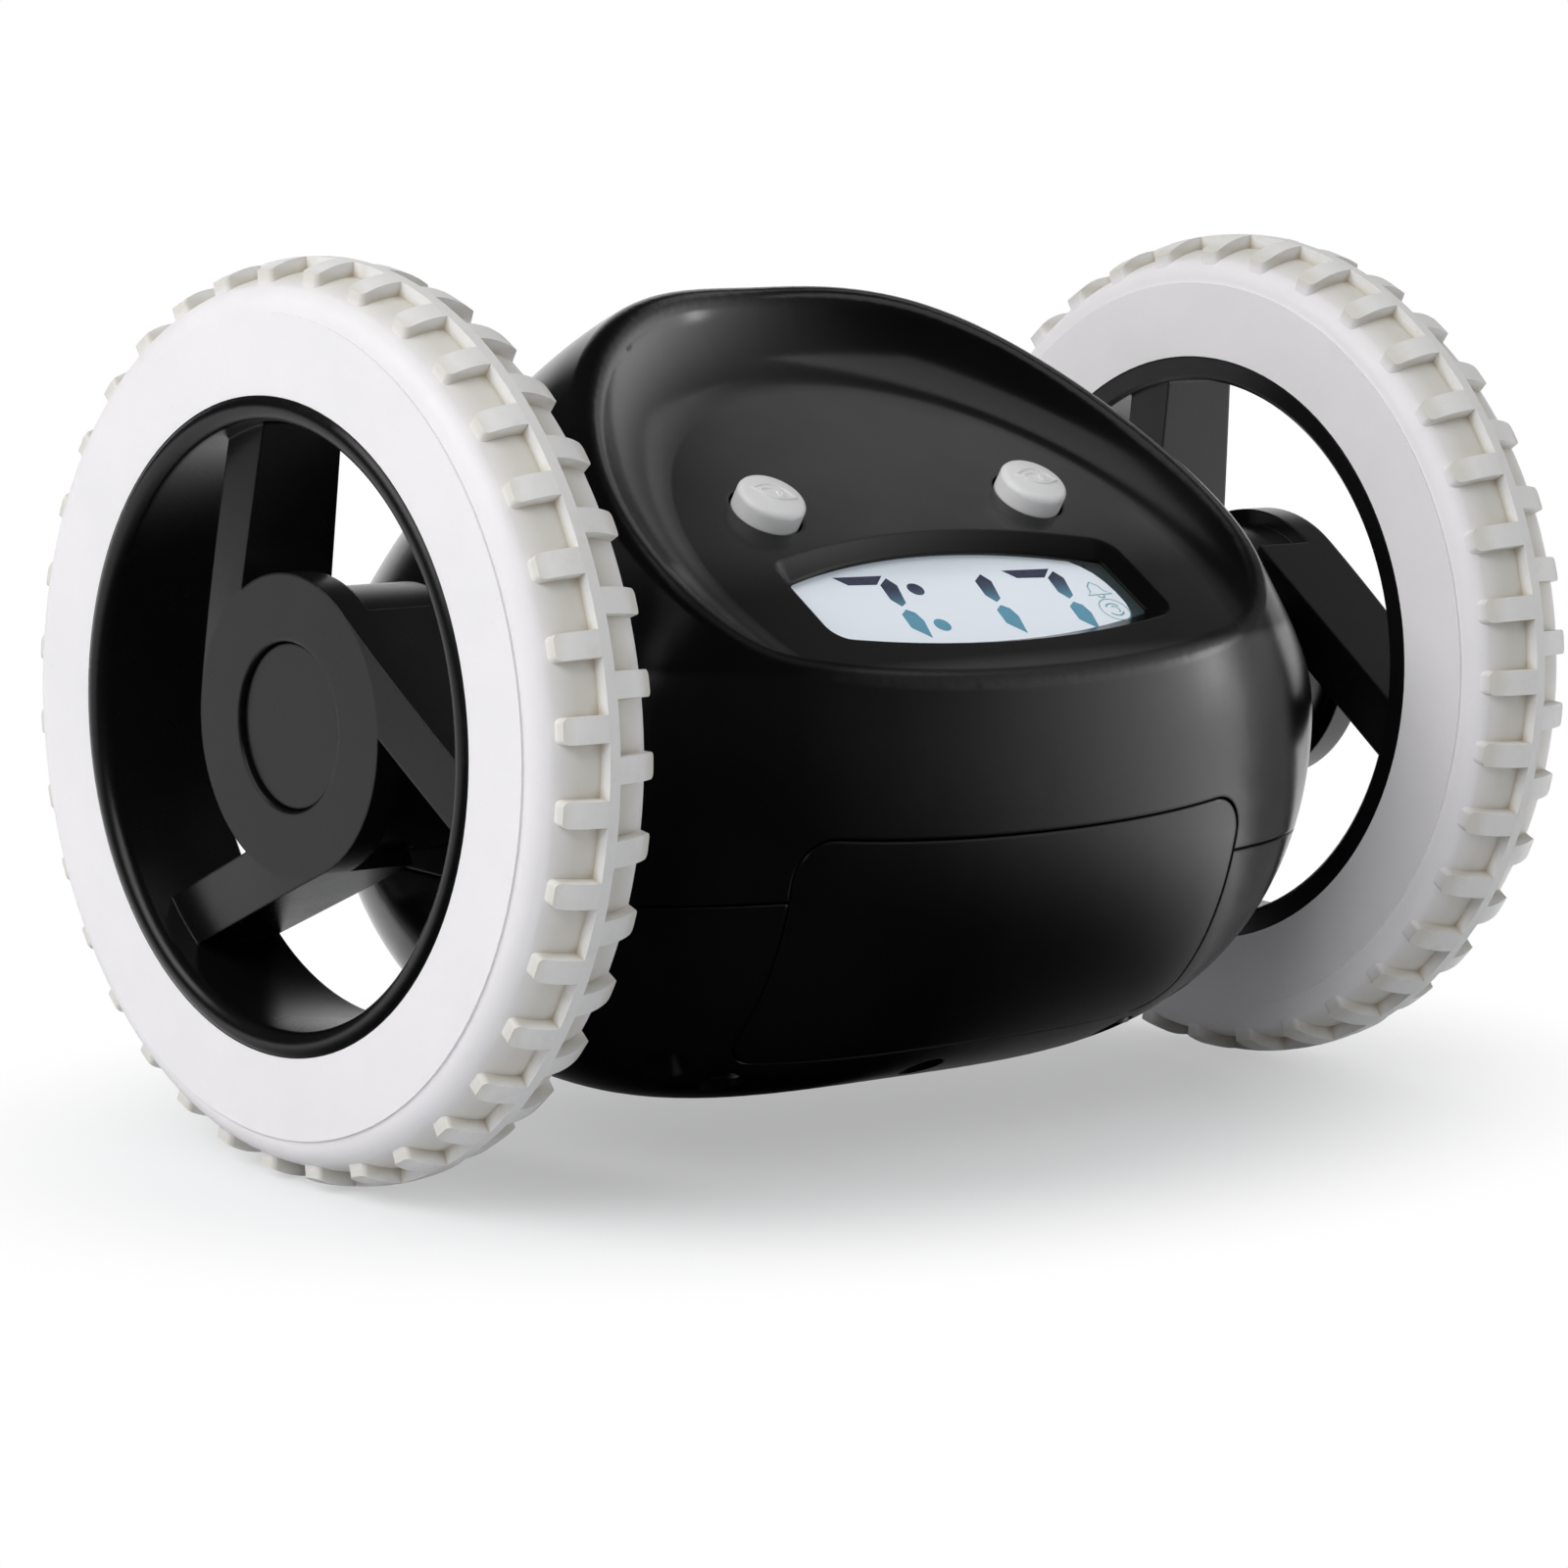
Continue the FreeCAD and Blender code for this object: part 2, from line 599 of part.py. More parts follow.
def post_points():
    """Spacer posts of the gear frame, clear of every gear."""
    clear = GEAR_MODULE * (WHEEL_GEAR_TEETH / 2 + 1) + POST_RADIUS + 1.0
    low = math.radians(226)
    high = math.radians(40)
    first = (clear * math.cos(low), WHEEL_RADIUS + clear * math.sin(low))
    second = (clear * math.cos(high), WHEEL_RADIUS + clear * math.sin(high))
    third = (MOTOR_Y - MOTOR_RADIUS - SCREW_HEAD_RADIUS - 0.6, MOTOR_Z - 1.5)
    return [first, second, third]


def plate(x0, x1, points):
    """Flat plate with rounded corners round the given points."""
    corners = [vec(x0, y, z) for y, z in points]
    corners.append(corners[0])
    outline = Part.makePolygon(corners).makeOffset2D(PLATE_MARGIN)
    return Part.Face(outline).extrude(vec(x1 - x0, 0, 0))


def inner_plate():
    posts = post_points()
    far = idler_point()
    top = (far[0] + 3, far[1] + 2)
    points = [posts[0], AXLE_POINT, posts[1], top, (MOTOR_Y + 4, MOTOR_Z - 4), posts[2]]
    body = plate(INNER_PLATE_X, INNER_PLATE_X + PLATE_THICKNESS, points)
    x0 = INNER_PLATE_X - 1
    x1 = INNER_PLATE_X + PLATE_THICKNESS + 1
    holes = [axle_rod(x0, x1, AXLE_RADIUS + RUNNING_FIT)]
    holes.append(rod(x0, x1, far[0], far[1], PIN_RADIUS))
    holes.append(rod(x0, x1, MOTOR_Y, MOTOR_Z, 3.1))
    for y, z in posts:
        holes.append(rod(x0, x1, y, z, SCREW_RADIUS + 0.1))
    return body.cut(Part.makeCompound(holes))


def outer_plate():
    """Outer plate with the three posts that hold the inner plate away from it."""
    posts = post_points()
    far = idler_point()
    points = [posts[0], AXLE_POINT, posts[1], far, posts[2]]
    body = plate(OUTER_PLATE_X, FRAME_END_X, points)
    bars = []
    for y, z in posts:
        bars.append(rod(INNER_PLATE_X + PLATE_THICKNESS, OUTER_PLATE_X, y, z, POST_RADIUS))
    body = fused([body] + bars)
    holes = [axle_rod(OUTER_PLATE_X - 1, FRAME_END_X + 1, AXLE_RADIUS + RUNNING_FIT)]
    holes.append(rod(OUTER_PLATE_X - 1, FRAME_END_X + 1, far[0], far[1], PIN_RADIUS))
    for y, z in posts:
        holes.append(rod(INNER_PLATE_X, INNER_PLATE_X + 8, y, z, SCREW_RADIUS))
    return body.cut(Part.makeCompound(holes))


def make_gears():
    save_pair("wheel_gear", wheel_gear())
    save_pair("double_gear", double_gear())
    save_pair("motor_pinion", motor_pinion())
    save_pair("gear_plate_inner", inner_plate())
    save_pair("gear_plate_outer", outer_plate())
    far = idler_point()
    pin = rod(INNER_PLATE_X, FRAME_END_X, far[0], far[1], PIN_RADIUS)
    save("gear_pins", Part.makeCompound(both_sides(pin)))
    screws = []
    for y, z in post_points():
        head_x = INNER_PLATE_X - SCREW_HEAD_HEIGHT
        screws += both_sides(screw_along_x(head_x, INNER_PLATE_X + 7.5, y, z))
    save("gear_frame_screws", Part.makeCompound(screws))


# ================================================================ motors
def motor_form(x0, x1, inset):
    """Round motor body with two flats."""
    body = rod(x0, x1, MOTOR_Y, MOTOR_Z, MOTOR_RADIUS - inset)
    half = MOTOR_FLAT - inset
    slab = box(x0, x1, MOTOR_Y - 20, MOTOR_Y + 20, MOTOR_Z - half, MOTOR_Z + half)
    return body.common(slab)


def motor_can():
    outer = motor_form(MOTOR_BACK_X, INNER_PLATE_X, 0)
    inner = motor_form(MOTOR_BACK_X - 1, INNER_PLATE_X - MOTOR_WALL, MOTOR_WALL)
    boss = rod(INNER_PLATE_X - 0.5, INNER_PLATE_X + PLATE_THICKNESS, MOTOR_Y, MOTOR_Z, 3.0)
    hole = rod(INNER_PLATE_X - 2, INNER_PLATE_X + 3, MOTOR_Y, MOTOR_Z, MOTOR_SHAFT_RADIUS + 0.04)
    return outer.cut(inner).fuse(boss).cut(hole).removeSplitter()


def motor_cap():
    """Plastic end cap with the bearing and the two terminals."""
    x0 = MOTOR_BACK_X - MOTOR_CAP_THICKNESS
    cap = motor_form(x0, MOTOR_BACK_X, 0)
    plug = motor_form(MOTOR_BACK_X - 0.1, MOTOR_BACK_X + 1.2, MOTOR_WALL)
    hole = rod(x0 - 1, MOTOR_BACK_X + 2, MOTOR_Y, MOTOR_Z, MOTOR_SHAFT_RADIUS + 0.04)
    return cap.fuse(plug).cut(hole).removeSplitter()


def motor_magnets():
    """Two curved magnets inside the can."""
    x0 = MOTOR_BACK_X + 6
    x1 = x0 + ARMATURE_LENGTH
    outer = motor_form(x0, x1, MOTOR_WALL)
    inner = rod(x0, x1, MOTOR_Y, MOTOR_Z, MOTOR_RADIUS - MOTOR_WALL - MAGNET_THICKNESS)
    ring = outer.cut(inner)
    gap = box(x0, x1, MOTOR_Y - 4.5, MOTOR_Y + 4.5, MOTOR_Z - 15, MOTOR_Z + 15)
    return ring.cut(gap)


def armature():
    """Three-pole core with its winding slots."""
    x0 = MOTOR_BACK_X + 6
    x1 = x0 + ARMATURE_LENGTH
    core = rod(x0, x1, MOTOR_Y, MOTOR_Z, ARMATURE_RADIUS)
    slots = []
    for i in range(3):
        slot = box(x0 - 1, x1 + 1, MOTOR_Y - 0.7, MOTOR_Y + 0.7, MOTOR_Z + 3, MOTOR_Z + 8)
        slot.rotate(vec(0, MOTOR_Y, MOTOR_Z), vec(1, 0, 0), 120 * i)
        slots.append(slot)
    drum = rod(x0 - 3.5, x0, MOTOR_Y, MOTOR_Z, COMMUTATOR_RADIUS)
    bore = rod(x0 - 5, x1 + 1, MOTOR_Y, MOTOR_Z, MOTOR_SHAFT_RADIUS)
    return core.cut(Part.makeCompound(slots)).fuse(drum).cut(bore).removeSplitter()


def make_motors():
    save_pair("motor_can", motor_can())
    save_pair("motor_end_cap", motor_cap())
    magnets = both_sides(motor_magnets())
    save("motor_magnets", Part.makeCompound(magnets))
    save_pair("motor_armature", armature())
    shaft_end = FAST_X + FAST_GEAR_WIDTH + 0.2
    shaft = rod(MOTOR_BACK_X - MOTOR_CAP_THICKNESS, shaft_end, MOTOR_Y, MOTOR_Z, MOTOR_SHAFT_RADIUS)
    save_pair("motor_shaft", shaft)


# ================================================================ casing form
def blend(front, bottom, back, top, angle):
    """A value that passes smoothly from one side of the casing to the next."""
    across = math.cos(angle)
    up = math.sin(angle)
    side = back if across > 0 else front
    end = top if up > 0 else bottom
    return side * across * across + end * up * up


def end_reach(angle, inset):
    """Distance from the core line to the edge of the round end disc."""
    along = END_SHIFT_Y * math.cos(angle) + END_SHIFT_Z * math.sin(angle)
    shift = END_SHIFT_Y ** 2 + END_SHIFT_Z ** 2
    radius = END_RADIUS - inset
    return along + math.sqrt(radius ** 2 - shift + along ** 2)


def reach(x, angle, inset):
    """How far the casing stands from its core line at station x, in direction angle."""
    length = HALF_LENGTH - inset
    middle = blend(REACH_FRONT, REACH_BOTTOM, REACH_BACK, REACH_TOP, angle) - inset
    end = end_reach(angle, inset)
    power = blend(FULLNESS_FRONT, FULLNESS_BOTTOM, FULLNESS_BACK, FULLNESS_TOP, angle)
    shoulder = blend(SHOULDER_FRONT, SHOULDER_SIDE, SHOULDER_SIDE, SHOULDER_TOP, angle)
    share = max(0.0, 1.0 - abs(x / length) ** power)
    return end + (middle - end) * share ** shoulder


def rear_y(x, z):
    """Where the outside of the casing lies behind a point at station x and height z."""
    y = CORE_Y + REACH_BACK
    for _ in range(8):
        r = reach(x, math.atan2(z - CORE_Z, y - CORE_Y), 0)
        y = CORE_Y + math.sqrt(r ** 2 - (z - CORE_Z) ** 2)
    return y


def section(x, inset, points=32):
    """Closed smooth curve round the casing at station x."""
    ring = []
    for i in range(points):
        angle = 2 * math.pi * i / points - math.pi / 2
        r = reach(x, angle, inset)
        ring.append(vec(x, CORE_Y + r * math.cos(angle), CORE_Z + r * math.sin(angle)))
    curve = Part.BSplineCurve()
    curve.interpolate(Points=ring, PeriodicFlag=True)
    return Part.Wire([curve.toShape()])


def barrel(inset=0.0, stations=17):
    """Solid form of the casing before its face is dished, drawn in by an inset."""
    length = HALF_LENGTH - inset
    rings = []
    for i in range(stations):
        share = -1.0 + 2.0 * i / (stations - 1)
        rings.append(section(length * math.sin(share * math.pi / 2), inset))
    return Part.makeLoft(rings, True, False)


def put(shape, placement):
    """Copy of a shape, carried from its own frame into the clock's frame."""
    copy = shape.copy()
    copy.Placement = placement.multiply(shape.Placement)
    return copy


def face_placement(depth=0.0):
    """Frame on the clock face: X across, Y up the face, Z outwards; depth is below it."""
    tilt = math.radians(FACE_TILT)
    out = FACE_DISTANCE - depth
    y = DISH_CENTRE * math.cos(tilt) - out * math.sin(tilt)
    z = WHEEL_RADIUS + DISH_CENTRE * math.sin(tilt) + out * math.cos(tilt)
    return FreeCAD.Placement(vec(0, y, z), FreeCAD.Rotation(vec(1, 0, 0), FACE_TILT))


def dish_tool(depth=0.0):
    """Everything outside the dished clock face: a flat floor that curls up all round."""
    curl = math.radians(DISH_CURL_ANGLE)
    half = curl / 2
    radius = DISH_CURL_RADIUS
    run = HALF_LENGTH
    start = vec(DISH_FLOOR_RADIUS, 0, 0)
    middle = vec(DISH_FLOOR_RADIUS + radius * math.sin(half), 0, radius * (1 - math.cos(half)))
    stop = vec(DISH_FLOOR_RADIUS + radius * math.sin(curl), 0, radius * (1 - math.cos(curl)))
    outer = vec(stop.x + run * math.cos(curl), 0, stop.z + run * math.sin(curl))
    axis_top = vec(0, 0, outer.z)
    edges = [
        Part.LineSegment(vec(0, 0, 0), start).toShape(),
        Part.Arc(start, middle, stop).toShape(),
        Part.LineSegment(stop, outer).toShape(),
        Part.LineSegment(outer, axis_top).toShape(),
        Part.LineSegment(axis_top, vec(0, 0, 0)).toShape(),
    ]
    tool = Part.Face(Part.Wire(edges)).revolve(vec(0, 0, 0), vec(0, 0, 1), 360)
    return put(tool, face_placement(depth))


def rim_edges(solid, outside, tool):
    """The edges where the outside of the casing meets the dished face."""
    found = []
    for edge in solid.Edges:
        middle = edge.valueAt((edge.FirstParameter + edge.LastParameter) / 2)
        point = Part.Vertex(middle)
        on_outside = outside.Shells[0].distToShape(point)[0] < 0.001
        on_tool = tool.Shells[0].distToShape(point)[0] < 0.001
        if on_outside and on_tool:
            found.append(edge)
    return found


def casing_outside():
    outside = barrel()
    tool = dish_tool()
    body = outside.cut(tool)
    return body.makeFillet(RIM_ROUND, rim_edges(body, outside, tool))


# ================================================================ battery compartment
def door_placement():
    """Frame on the battery door: X across, Y up the door, Z outwards."""
    return FreeCAD.Placement(vec(0, DOOR_Y, DOOR_Z), FreeCAD.Rotation(vec(1, 0, 0), 90 + DOOR_TILT))


def rounded_block(x, y, corner, low, high):
    """Block of half sizes x and y with its four upright edges rounded."""
    block = box(-x, x, -y, y, low, high)
    upright = [e for e in block.Edges if abs(e.Vertexes[0].Z - e.Vertexes[-1].Z) > 0.001]
    return block.makeFillet(corner, upright)


def door_prism(margin, low=-25.0, high=25.0):
    half_x = DOOR_WIDTH / 2 + margin
    half_y = DOOR_HEIGHT / 2 + margin
    block = rounded_block(half_x, half_y, DOOR_CORNER + margin, low, high)
    return put(block, door_placement())


def tray_half_width():
    return (CELL_LENGTH + SPRING_SPACE) / 2 + CONTACT_THICKNESS


def tray_half_height():
    return CELL_PITCH / 2 + CELL_RADIUS + CELL_PLAY


def tray_depth():
    """How deep the tray's floor lies behind the door's own plane."""
    return CELL_SET_BACK + CELL_PITCH + CELL_RADIUS + CELL_PLAY


def tray_opening(high=25.0):
    block = box(-tray_half_width(), tray_half_width(), -tray_half_height(), tray_half_height(),
                -tray_depth(), high)
    return put(block, door_placement())


def battery_door(skin):
    """Piece of the casing's own surface, with two stiffening ribs on its inner side."""
    plate_form = skin.common(door_prism(-DOOR_GAP))
    ribs = []
    for x in (-DOOR_RIB_X, DOOR_RIB_X):
        ribs.append(box(x - 0.6, x + 0.6, -7.0, 7.0, -2.5, 4.0))
    bars = put(Part.makeCompound(ribs), door_placement()).common(barrel(WALL / 2))
    bars = bars.cut(barrel(WALL + 0.7))
    return plate_form.fuse(bars).removeSplitter()


def tray_lugs():
    """Feet under the tray that stand on the lower shell's columns."""
    feet = []
    for x in TRAY_SCREW_X:
        start = vec(x, TRAY_SCREW_Y, TRAY_LUG_Z)
        feet.append(Part.makeCylinder(TRAY_LUG_RADIUS, 8.0, start))
    return feet


def battery_tray(core):
    outer = box(-tray_half_width() - TRAY_WALL, tray_half_width() + TRAY_WALL,
                -tray_half_height() - TRAY_WALL, tray_half_height() + TRAY_WALL,
                -tray_depth() - TRAY_WALL, 25.0)
    body = put(outer, door_placement()).fuse(Part.makeCompound(tray_lugs()))
    body = body.common(core).cut(tray_opening())
    for x in TRAY_SCREW_X:
        start = vec(x, TRAY_SCREW_Y, TRAY_LUG_Z - 1)
        body = body.cut(Part.makeCylinder(SCREW_RADIUS, 1 + tray_screw_bite(), start))
    return body


def tray_screw_bite():
    """Length of a tray screw inside a foot, short of the tray's own wall."""
    return 3.0


def cell_places():
    """Middle of each cell in the door's frame as (height, depth, way the nub points)."""
    half = CELL_PITCH / 2
    front = -CELL_SET_BACK
    back = -CELL_SET_BACK - CELL_PITCH
    return [(half, front, 1), (-half, front, -1), (half, back, -1), (-half, back, 1)]


def cell(height, depth, way):
    """Round cell whose nub touches the contact plate on its own side."""
    end = tray_half_width() - CONTACT_THICKNESS
    body_length = CELL_LENGTH - CELL_NUB_LENGTH
    nub_start = end - CELL_NUB_LENGTH
    body = rod(nub_start - body_length, nub_start, height, depth, CELL_RADIUS)
    ends = [e for e in body.Edges if isinstance(e.Curve, Part.Circle)]
    body = body.makeFillet(0.5, ends)
    nub = rod(nub_start - 1, end, height, depth, CELL_NUB_RADIUS)
    piece = body.fuse(nub).removeSplitter()
    if way < 0:
        piece = piece.mirror(vec(0, 0, 0), vec(1, 0, 0))
    return put(piece, door_placement())


def contact_spring(height, depth, way):
    """Coil that presses a cell's flat end towards the opposite plate."""
    run = SPRING_SPACE - 2 * SPRING_WIRE
    helix = Part.makeHelix(run / 3, run, SPRING_RADIUS)
    circle = Part.Circle(vec(SPRING_RADIUS, 0, 0), vec(0, 1, 0), SPRING_WIRE).toShape()
    coil = Part.Wire(helix).makePipeShell([Part.Wire([circle])], True, True)
    coil.rotate(vec(0, 0, 0), vec(0, 1, 0), 90)
    start = -tray_half_width() + CONTACT_THICKNESS + SPRING_WIRE
    coil.translate(vec(start, height, depth))
    if way < 0:
        coil = coil.mirror(vec(0, 0, 0), vec(1, 0, 0))
    return put(coil, door_placement())


def contact_plates():
    """Thin plates that line both ends of the tray."""
    high = tray_half_height() - 0.6
    top = -CELL_SET_BACK + CELL_RADIUS - 1.5
    bottom = -tray_depth() + 0.6
    inner = tray_half_width() - CONTACT_THICKNESS
    right = box(inner, tray_half_width(), -high, high, bottom, top)
    left = right.mirror(vec(0, 0, 0), vec(1, 0, 0))
    return [put(right, door_placement()), put(left, door_placement())]


def make_battery_parts(skin, core):
    save("battery_door", battery_door(skin))
    save("battery_tray", battery_tray(core))
    save("battery_cells", Part.makeCompound([cell(*place) for place in cell_places()]))
    metal = contact_plates()
    for height, depth, way in cell_places():
        metal.append(contact_spring(height, depth, way))
    save("battery_contacts", Part.makeCompound(metal))


# ================================================================ face
def window_block(margin, top, bottom):
    """Display opening, wider by a margin, between two depths below the face."""
    half = WINDOW_WIDTH / 2 + margin
    low = WINDOW_V - WINDOW_SIDE_HEIGHT / 2 - margin
    high = WINDOW_V + WINDOW_SIDE_HEIGHT / 2 + margin
    edges = [
        Part.LineSegment(vec(half, low, -bottom), vec(half, high, -bottom)).toShape(),
        Part.Arc(vec(half, high, -bottom), vec(0, high + WINDOW_TOP_RISE, -bottom),
                 vec(-half, high, -bottom)).toShape(),
        Part.LineSegment(vec(-half, high, -bottom), vec(-half, low, -bottom)).toShape(),
        Part.Arc(vec(-half, low, -bottom), vec(0, low - WINDOW_BOTTOM_RISE, -bottom),
                 vec(half, low, -bottom)).toShape(),
    ]
    block = Part.Face(Part.Wire(edges)).extrude(vec(0, 0, bottom - top))
    upright = [e for e in block.Edges if abs(e.Vertexes[0].Z - e.Vertexes[-1].Z) > 0.001]
    return block.makeFillet(WINDOW_CORNER + margin, upright)


def window_outline(margin, depth):
    """Closed wire of the display opening at a depth below the face."""
    block = window_block(margin, depth - 1.0, depth)
    low = [f for f in block.Faces if f.BoundBox.ZLength < 0.001 and f.BoundBox.ZMax < 0.5 - depth]
    return low[0].OuterWire


def window_tool():
    """Opening for the display: sloping sides down to the lens, and the lens's seat."""
    slope = WINDOW_BEVEL / LENS_DEPTH
    above = 0.5
    outer = window_outline(slope * above, -above)
    inner = window_outline(-WINDOW_BEVEL, LENS_DEPTH)
    funnel = Part.makeLoft([outer, inner], True, True)
    through = window_block(-WINDOW_BEVEL, LENS_DEPTH - 0.2, LENS_DEPTH + LENS_THICKNESS)
    seat = window_block(LENS_MARGIN - WINDOW_BEVEL + LENS_GAP, LENS_DEPTH, WALL + 1.0)
    return [put(tool, face_placement()) for tool in (funnel, through, seat)]


def face_rod(x, v, top, bottom, radius):
    """Round bar that stands on the face, between two depths below it."""
    bar = Part.makeCylinder(radius, bottom - top, vec(x, v, -bottom))
    return put(bar, face_placement())


def face_box(x0, x1, v0, v1, top, bottom):
    return put(box(x0, x1, v0, v1, -bottom, -top), face_placement())


def push_button(x):
    """Domed round button with a flange that keeps it inside the casing."""
    top = BUTTON_HEIGHT
    flange_top = WALL + FLANGE_PLAY
    flange_low = flange_top + FLANGE_THICKNESS
    cap = Part.makeCylinder(BUTTON_RADIUS, top + flange_low, vec(x, BUTTON_V, -flange_low))
    ball_centre = vec(x, BUTTON_V, top - BUTTON_DOME_RADIUS)
    cap = cap.common(Part.makeSphere(BUTTON_DOME_RADIUS, ball_centre))
    crown = [e for e in cap.Edges if e.BoundBox.ZMin > top / 2 and e.BoundBox.XLength > 1]
    cap = cap.makeFillet(BUTTON_EDGE_ROUND, crown)
    flange = Part.makeCylinder(FLANGE_RADIUS, FLANGE_THICKNESS, vec(x, BUTTON_V, -flange_low))
    side = BUTTON_V - FLANGE_FLAT
    flange = flange.cut(box(x - 9, x + 9, side - 9, side, -flange_low - 1, 1))
    stem_end = switch_top_depth() - BUTTON_TRAVEL - 0.1
    stem = Part.makeCylinder(STEM_RADIUS, stem_end - flange_top, vec(x, BUTTON_V, -stem_end))
    return put(fused([cap, flange, stem]), face_placement())


def switch_top_depth():
    return BOARD_DEPTH - SWITCH_HEIGHT - PLUNGER_HEIGHT


def tact_switch():
    """Push switch in its own frame: body on the plane z = 0 with a plunger on top."""
    half = SWITCH_SIZE / 2
    body = box(-half, half, -half, half, 0, SWITCH_HEIGHT)
    plunger = Part.makeCylinder(PLUNGER_RADIUS, PLUNGER_HEIGHT, vec(0, 0, SWITCH_HEIGHT))
    return body.fuse(plunger)


def board_screw_places():
    places = []
    for x in (-BOARD_BOSS_X, BOARD_BOSS_X):
        for v in BOARD_BOSS_V:
            places.append((x, v))
    return places


def face_bosses():
    bars = []
    for x, v in board_screw_places():
        bars.append(face_rod(x, v, WALL / 2, BOARD_DEPTH, BOARD_BOSS_RADIUS))
    return bars


def main_board():
    low = BOARD_DEPTH + BOARD_THICKNESS
    middle = (BOARD_LOW_V + BOARD_HIGH_V) / 2
    half_v = (BOARD_HIGH_V - BOARD_LOW_V) / 2
    board = rounded_block(BOARD_HALF_WIDTH, half_v, 2.0, -low, -BOARD_DEPTH)
    board.translate(vec(0, middle, 0))
    chips = [box(-6, 6, 0, 8, -low - 1.2, -low), box(-16, -10, -9, -3, -low - 1.6, -low)]
    chips.append(box(9, 20, -8, -2, -low - 1.0, -low))
    board = put(fused([board] + chips), face_placement())
    for x, v in board_screw_places():
        board = board.cut(face_rod(x, v, BOARD_DEPTH - 1, low + 1, SCREW_RADIUS + SCREW_CLEARANCE))
    return board


def display_frame():
    """Frame between the lens and the board that holds the display panel."""
    half_x = PANEL_WIDTH / 2 + PANEL_GAP
    half_v = PANEL_HEIGHT / 2 + PANEL_GAP
    top = LENS_DEPTH + LENS_THICKNESS
    outer = box(-half_x - FRAME_WALL, half_x + FRAME_WALL, WINDOW_V - half_v - FRAME_WALL,
                WINDOW_V + half_v + FRAME_WALL, -BOARD_DEPTH, -top)
    hole = box(-half_x, half_x, WINDOW_V - half_v, WINDOW_V + half_v, -top - PANEL_THICKNESS, -top)
    inner_x = half_x - 2
    inner_v = half_v - 2
    back = box(-inner_x, inner_x, WINDOW_V - inner_v, WINDOW_V + inner_v, -BOARD_DEPTH - 1, -top)
    return put(outer.cut(hole).cut(back), face_placement())


def display_panel():
    half_x = PANEL_WIDTH / 2
    half_v = PANEL_HEIGHT / 2
    top = LENS_DEPTH + LENS_THICKNESS
    return face_box(-half_x, half_x, WINDOW_V - half_v, WINDOW_V + half_v, top, top + PANEL_THICKNESS)


def make_face_parts():
    lens = window_block(LENS_MARGIN - WINDOW_BEVEL, LENS_DEPTH, LENS_DEPTH + LENS_THICKNESS)
    save("display_lens", put(lens, face_placement()))
    save("display_panel", display_panel())
    save("display_frame", display_frame())
    save("main_board", main_board())
    switches = []
    for x in (-BUTTON_X, BUTTON_X):
        switch = tact_switch()
        switch.translate(vec(x, BUTTON_V, -BOARD_DEPTH))
        switches.append(put(switch, face_placement()))
    save("face_switches", Part.makeCompound(switches))
    save("button_right", push_button(BUTTON_X))
    save("button_left", push_button(-BUTTON_X))


# ================================================================ rear controls
def rear_rod(x, z, y0, y1, radius):
    """Round bar along Y on the rear of the casing."""
    return Part.makeCylinder(radius, y1 - y0, vec(x, y0, z), vec(0, 1, 0))


def rear_boss_places():
    places = []
    for x in (-REAR_BOSS_X, REAR_BOSS_X):
        for z in REAR_BOSS_Z:
            places.append((x, z))
    return places


def setting_key(x):
    """Small rear key with a flange behind the wall and a stem to its switch."""
    outer = rear_y(x, KEY_Z) + KEY_PROUD
    flange_low = KEY_FLANGE_Y - FLANGE_THICKNESS
    plunger = REAR_BOARD_Y + SWITCH_HEIGHT + PLUNGER_HEIGHT
    body = rear_rod(x, KEY_Z, flange_low, outer, KEY_RADIUS)
    rim_edge = [e for e in body.Edges if e.BoundBox.YMin > outer - 0.1]
    body = body.makeFillet(0.5, rim_edge)
    flange = rear_rod(x, KEY_Z, flange_low, KEY_FLANGE_Y, KEY_FLANGE_RADIUS)
    stem = rear_rod(x, KEY_Z, plunger + KEY_TRAVEL + 0.1, KEY_FLANGE_Y, KEY_RADIUS - 1)
    return fused([body, flange, stem])


def slider_rest_z():
    return KEY_Z - SLIDER_TRAVEL / 2


def slider_knob():
    z = slider_rest_z()
    half_z = SLIDER_HEIGHT / 2
    half_x = SLIDER_WIDTH / 2
    inner = REAR_BOARD_Y + SLIDER_BODY_HEIGHT + 0.3
    outer = rear_y(SLIDER_X, KEY_Z) + SLIDER_PROUD
    body = box(SLIDER_X - half_x, SLIDER_X + half_x, inner, outer, z - half_z, z + half_z)
    ends = [e for e in body.Edges if e.BoundBox.YMin > outer - 0.1]
    body = body.makeFillet(0.4, ends)
    lever = box(SLIDER_X - 0.6, SLIDER_X + 0.6, inner - 1.5, inner + 0.5, z - 1.0, z + 1.0)
    return body.fuse(lever).removeSplitter()


def slider_slot(gap):
    half_x = SLIDER_WIDTH / 2 + gap
    half_z = SLIDER_HEIGHT / 2 + SLIDER_TRAVEL / 2 + gap
    y1 = CORE_Y + REACH_BACK + 5
    return box(SLIDER_X - half_x, SLIDER_X + half_x, REAR_BOARD_Y, y1, KEY_Z - half_z, KEY_Z + half_z)


def slide_switch():
    """Body of the slide switch with the slot for the knob's lever."""
    top = REAR_BOARD_Y + SLIDER_BODY_HEIGHT
    body = box(SLIDER_X - 3.2, SLIDER_X + 3.2, REAR_BOARD_Y, top, KEY_Z - 3.3, KEY_Z + 4.4)
    reach_z = 1.0 + SLIDER_TRAVEL / 2 + 0.3
    slot = box(SLIDER_X - 0.9, SLIDER_X + 0.9, top - 1.8, top + 1, KEY_Z - reach_z, KEY_Z + reach_z)
    return body.cut(slot)


